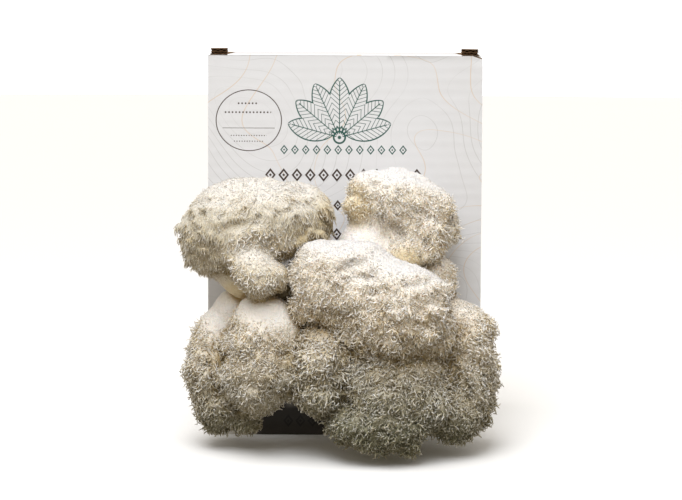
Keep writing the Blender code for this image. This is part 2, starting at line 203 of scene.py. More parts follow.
def makeFloor():
    # a round pale floor, and a white backdrop right round it that lights nothing
    ground, backdrop = lightSettings["floor"], lightSettings["backdrop"]
    sides, radius = ground["sides"], ground["radius"]
    turns = [2 * math.pi * side / sides for side in range(sides)]
    rim = [(radius * math.cos(turn), radius * math.sin(turn)) for turn in turns]
    walls = [(side, side + sides, (side + 1) % sides + sides, (side + 1) % sides) for side in range(sides)]
    paper = newMaterial("palePaper", 0.9, 0.1, {"Base Color": rgb(*ground["color"])})[0]
    glow = newMaterial("whiteBackdrop", 0.5, 0.5, {"Base Color": rgb(0, 0, 0), "Emission Color": rgb(1, 1, 1),
                                                   "Emission Strength": backdrop["brightness"]})[0]
    for name, heights, faces, material in (
            ("studioFloor", (0.0,), [tuple(range(sides))], paper),
            ("studioBackdrop", (0.0, backdrop["height"]), walls, glow)):
        mesh = bpy.data.meshes.new(name)
        mesh.from_pydata([(x, y, z) for z in heights for x, y in rim], [], faces)
        mesh.materials.append(material)
        part = objectFrom(mesh, name)
        part.visible_diffuse = False
        part.visible_glossy = part.visible_shadow = name == "studioFloor"


makeCamera()
makeLights()
makeFloor()
print("camera, lights and floor are set")


def freeze(obj):  # turns the modifiers into plain mesh
    graph = bpy.context.evaluated_depsgraph_get()
    graph.update()
    mesh = bpy.data.meshes.new_from_object(obj.evaluated_get(graph), preserve_all_data_layers=True,
                                           depsgraph=graph)
    obj.modifiers.clear()
    obj.data = mesh


def keepLargest(mesh):  # drops the crumbs that a remesh leaves
    bm = bmesh.new()
    bm.from_mesh(mesh)
    unseen, islands = set(bm.verts), []
    while unseen:
        stack = [unseen.pop()]
        island = list(stack)
        while stack:
            for edge in stack.pop().link_edges:
                for other in edge.verts:
                    if other in unseen:
                        unseen.discard(other)
                        island.append(other)
                        stack.append(other)
        islands.append(island)
    islands.sort(key=len)
    bmesh.ops.delete(bm, geom=[vertex for island in islands[:-1] for vertex in island], context="VERTS")
    bm.to_mesh(mesh)
    bm.free()


def mergedCopy(node):  # a CAD node's mesh is loose triangles, so its doubles are merged
    bm = bmesh.new()
    bm.from_mesh(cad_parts[node].data)
    bmesh.ops.remove_doubles(bm, verts=bm.verts, dist=2e-6)
    mesh = bpy.data.meshes.new(node + "Copy")
    bm.to_mesh(mesh)
    bm.free()
    return mesh


def vectors(items, name):  # one row for each vertex
    values = np.zeros(len(items) * 3)
    items.foreach_get(name, values)
    return values.reshape(-1, 3)


def corners(mesh):
    return vectors(mesh.vertices, "co")


def moveCorners(mesh, values):
    mesh.vertices.foreach_set("co", np.ascontiguousarray(values, dtype=np.float32).ravel())
    mesh.update()


def triangleCount(mesh):
    return sum(len(polygon.vertices) - 2 for polygon in mesh.polygons)


def store(mesh, name, values):
    kind = "FLOAT_VECTOR" if values.ndim == 2 else "FLOAT"
    layer = mesh.attributes.new(name, kind, "POINT")
    layer.data.foreach_set("vector" if values.ndim == 2 else "value", values.astype(np.float32).ravel())


def smoothStep(values, low, high):
    share = np.clip((values - low) / (high - low), 0.0, 1.0)
    return share * share * (3 - 2 * share)


def lessen(values, low, high, share):  # 1 up to low, and less by the share from high on
    return 1 - share * smoothStep(values, low, high)


def atLeast(least, share):  # from the least to 1 as the share grows
    return least + (1 - least) * share


def softSkin(node, name, voxel, steps):  # an even, smooth skin round a faceted solid
    obj = objectFrom(mergedCopy(node), name)
    remesh = obj.modifiers.new("skin", "REMESH")
    remesh.mode = "VOXEL"
    remesh.voxel_size = voxel
    smooth = obj.modifiers.new("soften", "SMOOTH")
    smooth.factor = 0.5
    smooth.iterations = steps
    freeze(obj)
    keepLargest(obj.data)
    return obj


def distanceFrom(places, x, out, z):  # from a place given across, out from the carton's front, and up
    return np.linalg.norm(places - np.array((x, frontY - out, z)), axis=1)


fleshColors = {
    "white": rgb(0.93, 0.90, 0.87),
    # velvet: a grey for level tops and pale places, kept darker than the tips to hold back the strong top
    # light: painted shade
    "velvet": rgb(0.685, 0.675, 0.672),
    "cream": rgb(0.86, 0.78, 0.66),
    "ochre": rgb(0.78, 0.65, 0.40),
    # brown: painted shade in crevices and valleys, with the ochre that the folds have
    "brown": rgb(0.56, 0.42, 0.22),
    # painted shade: a dark olive that the flesh and spines take towards the floor
    "damp": rgb(0.225, 0.215, 0.14),
}

spineColors = {
    "root": rgb(0.78, 0.65, 0.43),
    "darkRoot": rgb(0.72, 0.55, 0.31),
    "tip": rgb(0.90, 0.855, 0.785),
    "paleTip": rgb(0.94, 0.915, 0.89),
    "stained": rgb(0.86, 0.75, 0.52),
    # deep: the spines' painted shade in crevices and valleys
    "deep": rgb(0.60, 0.46, 0.26),
}


def makeFleshMaterial():
    others = {"Subsurface Weight": 0.30, "Subsurface Radius": (1.0, 0.80, 0.62), "Subsurface Scale": 0.003,
              "Sheen Weight": 0.10}
    material, sheet, shader = newMaterial("moistFlesh", 0.62, 0.35, others)
    place = objectPlace(sheet)
    mottle = noiseOf(sheet, place, 70.0, 3.0).step(0.35, 0.70)
    color = (mottle * 0.35).mix(fleshColors["white"], fleshColors["cream"])
    color = (1 - attribute(sheet, "bald").smaller(1.0)).mix(color, fleshColors["cream"])
    color = (attribute(sheet, "stain") * 0.85).mix(color, fleshColors["ochre"])
    # painted shade: brown where crevices and valleys are deep
    color = attribute(sheet, "recess").step(0.35, 0.95).mix(color, fleshColors["brown"])
    # painted shade: level tops take the darker velvet grey
    color = (attribute(sheet, "velvet") * 0.9).mix(color, fleshColors["velvet"])
    # painted shade: dark olive towards the floor
    color = attribute(sheet, "damp").smaller(1.0).mix(color, fleshColors["damp"])
    feed(shader, "Base Color", color)
    fibres = noiseOf(sheet, place, 1300.0, 3.0) + noiseOf(sheet, place, 420.0, 3.0) * 2.0
    roughen(sheet, shader, fibres, 0.0009, 0.8)
    return material


def makeSpineMaterial():
    others = {"Subsurface Weight": 0.38, "Subsurface Radius": (1.0, 0.84, 0.66), "Subsurface Scale": 0.0022}
    material, sheet, shader = newMaterial("paleSpines", 0.55, 0.35, others)
    along = attribute(sheet, "along")
    stain = attribute(sheet, "stain")
    patch = noiseOf(sheet, objectPlace(sheet), 55.0, 3.0).step(0.42, 0.68)
    root = (patch * 0.6 + stain).smaller(1.0).mix(spineColors["root"], spineColors["darkRoot"])
    tip = attribute(sheet, "tint").mix(spineColors["tip"], spineColors["paleTip"])
    tip = (stain * 0.6).mix(tip, spineColors["stained"])
    color = (along + patch * -0.15).step(0.02, 0.75).mix(root, tip)
    # painted shade: the spines turn brown towards their roots where crevices and valleys are deep
    deep = attribute(sheet, "recess").step(0.22, 0.85) * (1.0 - along * 0.85)
    color = deep.mix(color, spineColors["deep"])
    # painted shade: level tops take the darker velvet grey
    color = (attribute(sheet, "velvet") * 0.95).mix(color, fleshColors["velvet"])
    # painted shade: dark olive towards the floor, more at the roots
    color = (attribute(sheet, "damp") * (1.45 - along * 1.05)).smaller(1.0).mix(color, fleshColors["damp"])
    feed(shader, "Base Color", color)
    return material


fleshMaterial = makeFleshMaterial()
spineMaterial = makeSpineMaterial()

spineSettings = {
    "kinds": 12,
    "sides": 3,
    "bend": (0.4, 1.5),  # each step's bend and sway, as shares of the style's curl
    "sway": 0.7,
    "sizes": (0.70, 1.20),
    "density": 3e6,  # more than the spacing lets through
    "calm": {"lean": 0.65, "fall": 0.7},  # how much less hanging spines stray
    "jitter": 0.70,  # how far single spines stray from their neighbours' direction
    "spin": 1.6,  # and how freely their curl turns
}

styleSettings = {
    "curly": {
        "rings": (0.0, 0.36, 0.68, 0.92),
        "widths": (0.072, 0.077, 0.072, 0.056),  # half widths for a spine 1 long
        "curl": 1.02,  # bend of each step in radians
        "spacing": 0.00134,
        "flatten": 0.75,  # how much of the florets' relief level tops lose
        "florets": 1.0,
        "lobes": 1.0,
        "swirl": 0.75,  # how far clumps of spines lean together
    },
    "hanging": {
        "rings": (0.0, 0.40, 0.84),
        "widths": (0.050, 0.056, 0.042),
        "curl": 0.48,
        "spacing": 0.00120,
        "flatten": 0.4,
        "florets": 0.85,
        "lobes": 0.6,
        "swirl": 0.24,
    },
}


def makeSpineShapes(style, shapes):
    # pre-bent spines, 1 long, that start along Z and bend towards X
    draw = random.Random(len(style))
    values = styleSettings[style]
    curl, sides = values["curl"], spineSettings["sides"]
    spots = [*values["rings"], 1.0]
    top = (len(spots) - 2) * sides
    for kind in range(spineSettings["kinds"]):
        place, heading = Vector((0, 0, 0)), Quaternion()
        verts, along = [], []
        reverse = spots[2] if kind % 3 == 0 else 2.0  # a third of them bend back, like an S
        for index, spot in enumerate(spots):
            if index:
                place = place + heading @ Vector((0, 0, spot - spots[index - 1]))
                way = 1 if spot < reverse else -1
                turn = Quaternion((0, 1, 0), curl * draw.uniform(*spineSettings["bend"]) * way)
                sway = spineSettings["sway"]
                heading = heading @ turn @ Quaternion((1, 0, 0), curl * draw.uniform(-sway, sway))
            if spot == 1.0:
                verts.append(place)
                along.append(1.0)
                break
            for corner in range(sides):
                angle = 2 * math.pi * corner / sides
                half = values["widths"][index]
                verts.append(place + heading @ Vector((half * math.cos(angle), half * math.sin(angle), 0)))
                along.append(spot)
        faces = []
        for ring in range(0, top, sides):
            for corner in range(sides):
                a, b = ring + corner, ring + (corner + 1) % sides
                faces.append((a, b, b + sides, a + sides))
        faces += [(top + corner, top + (corner + 1) % sides, top + sides) for corner in range(sides)]
        faces.append(tuple(reversed(range(sides))))
        mesh = bpy.data.meshes.new(f"{style}Spine{kind:02d}")
        mesh.from_pydata(verts, [], faces)
        mesh.shade_smooth()
        store(mesh, "along", np.array(along))
        shapes.objects.link(bpy.data.objects.new(mesh.name, mesh))


def makeSpineTree():
    tree = bpy.data.node_groups.new("growSpines", "GeometryNodeTree")
    inputs = {"Geometry": "Geometry", "Spacing": "Float", "Jitter": "Float", "Spin": "Float", "Seed": "Int",
              "Shapes": "Collection", "Flesh": "Material", "Spines": "Material"}
    for name, kind in inputs.items():
        tree.interface.new_socket(name, in_out="INPUT", socket_type="NodeSocket" + kind)
    tree.interface.new_socket("Geometry", in_out="OUTPUT", socket_type="NodeSocketGeometry")
    sheet = Wire(tree)
    given = sheet.add("NodeGroupInput")

    def named(name, kind="FLOAT"):
        return sheet.add("GeometryNodeInputNamedAttribute", {"data_type": kind}, {"Name": name})

    def chance(kind, sockets, seed, out):  # another random value for each point
        return sheet.add("FunctionNodeRandomValue", {"data_type": kind},
                         {**sockets, "Seed": given.also("Seed") + seed}, out)

    def wander(amount, seed):  # a random vector for each point, this long at most each way
        free = chance("FLOAT_VECTOR", {"Min": (-1, -1, -1), "Max": (1, 1, 1)}, seed, 0)
        return sheet.add("ShaderNodeVectorMath", {"operation": "SCALE"}, {0: free, "Scale": amount})

    def painted(geometry, material):
        return sheet.add("GeometryNodeSetMaterial", {},
                         {"Geometry": geometry, "Material": given.also(material)})

    points = sheet.add("GeometryNodeDistributePointsOnFaces", {"distribute_method": "POISSON"}, {
        "Mesh": given.also("Geometry"),
        "Distance Min": given.also("Spacing"),
        "Density Max": spineSettings["density"],
        "Density Factor": named("cover"),
        "Seed": given.also("Seed"),
    })
    hang = named("hang")
    calm = spineSettings["calm"]
    stray = wander(given.also("Jitter") * (1 - hang * calm["lean"]), 1)
    fall = wander(given.also("Spin") * (1 - hang * calm["fall"]), 2).vectorSum((0.0, 0.0, -1.0))
    turned = sheet.add("FunctionNodeAlignRotationToVector", {"axis": "Z"},
                       {"Vector": named("lean", "FLOAT_VECTOR").vectorSum(stray)})
    turned = sheet.add("FunctionNodeAlignRotationToVector", {"axis": "X", "pivot_axis": "Z"},
                       {"Rotation": turned, "Vector": fall})
    kinds = spineSettings["kinds"]
    size = chance("FLOAT", dict(zip((2, 3), spineSettings["sizes"])), 3, 1)
    pick = chance("INT", {4: 0, 5: kinds - 1}, 4, 2)
    straight = sheet.add("ShaderNodeMath", {"operation": "LESS_THAN"},
                         {0: chance("FLOAT", {2: 0.0, 3: 1.0}, 6, 1), 1: hang})
    across = named("girth") * size
    grown = sheet.add("GeometryNodeInstanceOnPoints", {}, {
        "Points": points,
        "Instance": sheet.add("GeometryNodeCollectionInfo", {}, {
            "Collection": given.also("Shapes"), "Separate Children": True, "Reset Children": True}),
        "Pick Instance": True,
        "Instance Index": pick + straight * kinds,
        "Rotation": turned,
        "Scale": sheet.add("ShaderNodeCombineXYZ", {}, {0: across, 1: across, 2: named("reach") * size}),
    })
    grown = sheet.add("GeometryNodeStoreNamedAttribute", {"data_type": "FLOAT", "domain": "INSTANCE"},
                      {"Geometry": grown, "Name": "tint", "Value": chance("FLOAT", {2: 0.0, 3: 1.0}, 5, 1)})
    spines = painted(sheet.add("GeometryNodeRealizeInstances", {}, {"Geometry": grown}), "Spines")
    joined = sheet.add("GeometryNodeJoinGeometry")
    for part in (spines, painted(given.also("Geometry"), "Flesh")):
        tree.links.new(part.socket, joined.socket.node.inputs[0])
    sheet.add("NodeGroupOutput", {}, {"Geometry": joined})
    return tree


def setInputs(modifier, values):
    for item in modifier.node_group.interface.items_tree:
        if item.item_type == "SOCKET" and item.in_out == "INPUT" and item.name in values:
            modifier[item.identifier] = values[item.name]


# Slopes are the upward part of the surface's direction.
# Where there are three numbers, they are low, high and the share lost at high.
fleshSettings = {
    "voxel": 0.0016,
    "soften": 12,
    "sink": 0.0012,  # how far the flesh lies under the smoothed solid, so that spines reach its tips
    "tuftReach": (0.0085, 0.0120),  # the spines end this far from the tufts' tips
    "tuftLeast": 0.002,  # lower points aren't tufts
    "baldEdge": 0.40,  # how gradually a smooth place starts
    "baldRelax": 30,  # smoothing steps on smooth places
    "baldRise": 0.0015,  # how far smooth places stand out
    "baldRelief": 0.15,  # the share of the relief that they keep
    "florets": {"size": 0.0105, "height": 0.0026, "floor": 0.15},  # valleys are cut off at the floor
    "lobes": {"size": 0.026, "height": 0.0072, "floor": 0.22},
    "middle": 0.65,  # florets and lobes stand out from this share of their relief on
    "lumpSize": 0.0055,
    "lumpHeight": 0.0008,
    "flattenSlopes": (0.45, 0.85),
    "levelLobes": (0.30, 0.85, 0.70),  # lobes are lower on level tops
    "under": (0.25, 0.85, 1.0),  # undersides don't swell
    "velvetSlopes": (0.30, 0.86),  # the upper heads' tops have short dense spines, like velvet
    "velvetRise": 0.0012,
    "velvetEven": 0.45,  # how much velvet and woolly places are evened out
    "woollyEven": 0.5,
    "woollyEdge": 0.4,
    "fillWithin": 0.020,  # heads closer than this grow together
    "fill": 0.80,
    "floor": 0.0004,  # the flesh stays above this, and out of this box round the carton
    "clear": {"half": 0.0862, "front": 0.0003, "top": 0.241},
}

dressSettings = {
    "lookAround": 0.022,  # how far the search for crevices goes
    "lookFrom": 0.0012,
    "crevice": 1.5,
    # valleys between florets and lobes, and hanging spines, add to the crevices' painted shade
    "valley": {"floretLeast": 0.35, "span": (0.15, 0.70), "share": 0.50},
    "paleHeights": (0.080, 0.125, 0.8),  # above these the valleys get less painted shade
    "hangRecess": 0.42,
    # painted shade on hanging spines
    "hangShade": 0.22,
    "edges": {"woolly": 0.3, "pale": 0.5, "stain": 0.35},
    "top": (0.30, 0.95),
    "velvetHeights": (0.070, 0.098),
    "velvetBlur": 24,  # smoothing steps on the velvet's share
    "pale": 0.85,
    "behind": (0.35, 0.85),  # the backs, close to the carton, have fewer spines
    "behindPlaces": (-0.085, -0.066),
    "clumpSize": 0.0075,
    "lean": {"velvetSwirl": 0.5, "hang": 0.4, "top": 0.7},  # shares that these take off
    "topShort": (0.20, 0.40),  # spines are shorter on level tops, and more so on high ones
    "patch": {"size": 0.009, "share": 0.30},  # and differ from patch to patch
    "baldLength": 0.30,
    "floretLength": 0.74,
    "lobeLength": (0.86, 0.26),
    "shorter": {"velvet": 0.50, "pale": 0.22},
    "underShort": (0.25, 0.85, 0.35),
    "hangShort": {"slopes": (-0.10, 0.60), "share": 0.45},
    "cover": {"behind": 0.70, "recess": (0.75, 1.0, 0.30)},
    "girth": {"reach": 0.45, "length": 0.55, "baldLeast": 0.35, "velvet": 0.35},
}

# painted shade: the flesh and spines are darkened towards the floor, less at the left and the right
paintedShadeSettings = {
    "across": (-0.065, -0.010),  # the flesh is less dark at the left
    "lessShadeAcross": (0.040, 0.080, 0.80),  # and at the right
    "least": 0.60,
    "side": 0.36,
    "heights": (0.004, 0.099),  # it darkens below these heights
    "foot": {"heights": (0.004, 0.036), "share": 0.48},  # and once more near the floor
}

# Lengths are in millimetres. A zone is across, out from the carton, up and its radius; a bulge has its rise.
# bald: smooth flesh; stain: ochre; pale: short white spines; woolly: a soft place among hanging spines
# hangBelow: heights where the spines start to hang; fall: how far they droop; swell: flesh added all over
# velvet, depth: shares of the velvet and of the crevices' painted shade; tan, shade: added ochre, and added
# painted shade
headSettings = {
    "headCenter": {
        "node": "head_center", "style": "curly", "seed": 11, "length": 6.3, "fall": 0.30, "swell": 1.8,
        "pale": ((3, 75, 132, 22), (26, 78, 124, 22), (46, 76, 112, 18)),
        "bulges": ((-28, 80, 86, 16, 5), (62, 80, 75, 18, 4), (30, 85, 66, 16, 7), (52, 82, 66, 14, 6),
                   (10, 86, 72, 14, 5)),
    },
    "headLowerCenter": {
        "node": "head_lower_center", "style": "curly", "seed": 12, "length": 6.8, "fall": 0.45, "swell": 2.4,
        "bulges": ((-22, 78, 30, 20, 6), (-20, 80, 72, 18, 6), (54, 76, 60, 18, 6), (-20, 80, 50, 20, 3.5),
                   (-4, 90, 26, 20, 3), (52, 80, 34, 22, 3), (8, 82, 68, 24, 5), (22, 86, 68, 18, 8),
                   (38, 82, 75, 18, 8), (6, 84, 77, 16, 7), (50, 80, 79, 12, 5), (42, 80, 62, 26, 4)),
    },
    "headCenterLeft": {
        "node": "head_center_left", "style": "curly", "seed": 13, "length": 5.9, "fall": 0.35, "swell": 2.4,
        "bald": ((-41, 70, 101, 24),),
        "bulges": ((-30, 70, 55, 24, 4.5), (-34, 66, 82, 18, 4), (-60, 60, 88, 18, 4), (-39, 70, 108, 26, 12),
                   (-50, 72, 30, 24, 8), (-29, 72, 82, 18, 7)),
    },
    "headRight": {
        "node": "head_right", "style": "curly", "seed": 14, "length": 6.6, "fall": 0.30, "swell": 1.8,
        "velvet": 0.55, "bald": ((76, 30, 92, 6),),
        "bulges": ((58, 60, 77, 18, 6),),
    },
    "headUpperLeft": {
        "node": "head_upper_left", "style": "hanging", "seed": 15, "length": 7.0, "fall": 1.70, "swell": -0.4,
        "velvet": 0.70, "tan": 0.14, "shade": 0.08, "hangBelow": (140, 160), "woolly": ((-50, 80, 122, 20),),
        "bald": ((-66, 50, 98, 14), (-40, 44, 94, 14)),
        "stain": ((-28, 66, 106, 18), (-62, 52, 100, 13), (-16, 56, 128, 15), (-12, 46, 146, 15)),
        "bulges": ((-30, 74, 110, 20, 6), (-46, 84, 106, 24, 8), (-59, 80, 118, 20, 9),
                   (-66, 45, 164, 30, 6.5), (-90, 45, 118, 18, 3), (-45, 47, 168, 30, 3),
                   (-20, 44, 160, 24, 5.5)),
    },
    "headUpperRight": {
        "node": "head_upper_right", "style": "curly", "seed": 16, "length": 5.7, "fall": 0.30, "swell": 1.4,
        "depth": 0.4, "bald": ((12, 36, 122, 21), (30, 50, 109, 15)),
        "stain": ((2, 48, 150, 14), (36, 56, 112, 14)),
        "bulges": ((27, 33, 174, 26, 1.5), (8, 40, 164, 18, 6.5), (46, 33, 168, 24, 3), (12, 34, 120, 26, 8),
                   (36, 62, 129, 14, 5), (47, 50, 121, 18, 8)),
    },
    "headLeft": {
        "node": "head_left", "style": "curly", "seed": 17, "length": 6.4, "fall": 0.45, "swell": 1.8,
        "bald": ((-70, 38, 86, 20),),
        "bulges": ((-52, 50, 20, 24, 9), (-66, 38, 90, 24, 6)),
    },
    "headBackRight": {
        "node": "head_back_right", "style": "curly", "seed": 18, "length": 5.9, "fall": 0.30, "swell": 3.4,
        "bulges": ((52, 45, 112, 22, 6),),
    },
}


def zoneShare(places, zones, soft):  # 1 inside any of the zones, 0 outside, soft at their rims
    share = np.zeros(len(places))
    for *middle, radius in np.array(zones) * mm:
        distance = distanceFrom(places, *middle)
        share = np.maximum(share, 1 - smoothStep(distance, radius * (1 - soft), radius * (1 + soft)))
    return share


def tuftTips(mesh):  # the points of the CAD solid's tufts
    bm = bmesh.new()
    bm.from_mesh(mesh)
    tips = []
    for vertex in bm.verts:
        if len(vertex.link_faces) == 3:
            middle = sum([edge.other_vert(vertex).co for edge in vertex.link_edges], Vector()) / 3
            rise = vertex.co - middle
            if rise.length > fleshSettings["tuftLeast"] and rise.dot(vertex.normal) > 0:
                tips.append(vertex.co.copy())
    bm.free()
    return tips


def nearness(places, points):
    tree = KDTree(len(points))
    for index, point in enumerate(points):
        tree.insert(point, index)
    tree.balance()
    return np.array([tree.find(place)[2] for place in places])


def treeOf(meshes):
    verts, faces = [], []
    for mesh in meshes:
        start = len(verts)
        verts += [vertex.co.copy() for vertex in mesh.vertices]
        faces += [[start + index for index in polygon.vertices] for polygon in mesh.polygons]
    return BVHTree.FromPolygons(verts, faces)


def fieldOf(places, size, seed):  # the odd numbers here and below set the seeds' patterns far apart
    offset = Vector((seed * 3.7, seed * 1.9, seed * 5.3))
    return np.array([noise.noise(Vector(place) / size + offset) for place in places])


def vectorField(places, size, seed):
    offset = Vector((seed * 2.3, seed * 4.1, seed * 0.7))
    return np.array([noise.noise_vector(Vector(place) / size + offset) for place in places])


def floretField(places, size, seed):  # rounded florets with sharp valleys between them
    offset = Vector((seed * 1.3, seed * 2.9, seed * 4.7))
    wobble = vectorField(places, size * 1.4, seed + 40) * 0.35
    rise = np.zeros(len(places))
    for index, place in enumerate(places):
        near = noise.voronoi(Vector(place / size + wobble[index]) + offset)[0]
        rise[index] = near[1] - near[0]
    return smoothStep(rise, 0.0, 0.75)


hemisphere = [  # rays at three lifts from the surface, as directions round Z
    Vector((math.cos(turn) * math.cos(lift), math.sin(turn) * math.cos(lift), math.sin(lift)))
    for lift, count in ((0.35, 6), (0.80, 5), (1.25, 3))
    for turn in (2 * math.pi * step / count + lift for step in range(count))
]


def crevices(mesh, tree):  # how much of the way out is blocked near each point
    reach = dressSettings["lookAround"]
    blocked = []
    for place, normal in zip(corners(mesh), vectors(mesh.vertex_normals, "vector")):
        normal = Vector(normal)
        turn = normal.to_track_quat("Z", "Y")
        start = Vector(place) + normal * dressSettings["lookFrom"]
        hits = [tree.ray_cast(start, turn @ ray, reach)[3] for ray in hemisphere]
        blocked.append(sum(1 - hit / reach for hit in hits if hit is not None) / len(hemisphere))
    return np.array(blocked)


def relax(mesh, places, share, steps):  # evens the surface out where share is high
    ends = np.zeros(len(mesh.edges) * 2, int)
    mesh.edges.foreach_get("vertices", ends)
    ends = ends.reshape(-1, 2)
    count = np.bincount(ends.ravel(), minlength=len(places))[:, None]
    for step in range(steps):
        total = np.zeros_like(places)
        np.add.at(total, ends[:, 0], places[ends[:, 1]])
        np.add.at(total, ends[:, 1], places[ends[:, 0]])
        places = places + (total / count - places) * (0.5 * share)[:, None]
    return places


def relief(field, kind, style):
    values = fleshSettings[kind]
    cut = np.maximum(field, values["floor"]) - fleshSettings["middle"]
    return cut * values["height"] * styleSettings[style][kind]


def growFlesh(name, values):
    node, seed, style = values["node"], values["seed"], values["style"]
    look = fleshSettings
    others = [item["node"] for item in headSettings.values() if item["node"] != node] + ["mushroom_base"]
    neighbours = treeOf([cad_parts[other].data for other in others])
    tips = tuftTips(mergedCopy(node))
    obj = softSkin(node, name, look["voxel"], look["soften"])
    mesh = obj.data
    places, normals = corners(mesh), vectors(mesh.vertex_normals, "vector")
    slope = normals[:, 2]
    bald = zoneShare(places, values.get("bald", ()), look["baldEdge"])
    covered = (1 - smoothStep(nearness(places, tips), *look["tuftReach"])) * (1 - bald)
    florets = floretField(places, look["florets"]["size"], seed)
    lobes = floretField(places, look["lobes"]["size"], seed + 7)
    rise = relief(florets, "florets", style) + fieldOf(places, look["lumpSize"], seed) * look["lumpHeight"]
    rise *= lessen(slope, *look["flattenSlopes"], styleSettings[style]["flatten"])
    rise += relief(lobes, "lobes", style) * lessen(slope, *look["levelLobes"])
    rise = rise * atLeast(look["baldRelief"], covered) + look["baldRise"] * (1 - covered)
    rise += (values["swell"] * mm - look["sink"]) * covered * lessen(-slope, *look["under"])
    velvet = smoothStep(slope, *look["velvetSlopes"])
    rise += look["velvetRise"] * velvet * covered
    for *middle, radius, height in np.array(values["bulges"]) * mm:
        rise += height * (1 - smoothStep(distanceFrom(places, *middle), 0.0, radius))
    within = look["fillWithin"]
    for index, (place, normal) in enumerate(zip(places, normals)):  # grows towards a close neighbour
        gap = neighbours.ray_cast(Vector(place), Vector(normal), within)[3]
        if gap is not None:
            rise[index] += look["fill"] * gap * (1 - gap / within) * (1 - bald[index])
    places = places + normals * rise[:, None]
    woolly = zoneShare(places, values.get("woolly", ()), look["woollyEdge"])
    even = np.maximum(np.maximum(bald, look["woollyEven"] * woolly), look["velvetEven"] * velvet)
    moveCorners(mesh, stayClear(relax(mesh, places, even, look["baldRelax"])))
    return obj, covered, florets, lobes


def stayClear(places):  # keeps points above the floor and out of the carton
    clear = fleshSettings["clear"]
    half, front = clear["half"], frontY - clear["front"]
    places = places.copy()
    places[:, 2] = np.maximum(places[:, 2], fleshSettings["floor"])
    side = half - np.abs(places[:, 0])
    deep = places[:, 1] - front
    inside = (side > 0) & (deep > 0) & (places[:, 2] < clear["top"])
    pushSide = inside & (side < deep)
    places[pushSide, 0] = np.sign(places[pushSide, 0]) * half
    places[inside & ~pushSide, 1] = front
    return places


def paintedShadeShare(places):  # how much painted shade darkens the flesh near the floor
    values = paintedShadeSettings
    side = smoothStep(places[:, 0], *values["across"]) * lessen(places[:, 0], *values["lessShadeAcross"])
    damp = (values["least"] + values["side"] * side) * (1 - smoothStep(places[:, 2], *values["heights"]))
    return damp + values["foot"]["share"] * (1 - smoothStep(places[:, 2], *values["foot"]["heights"]))


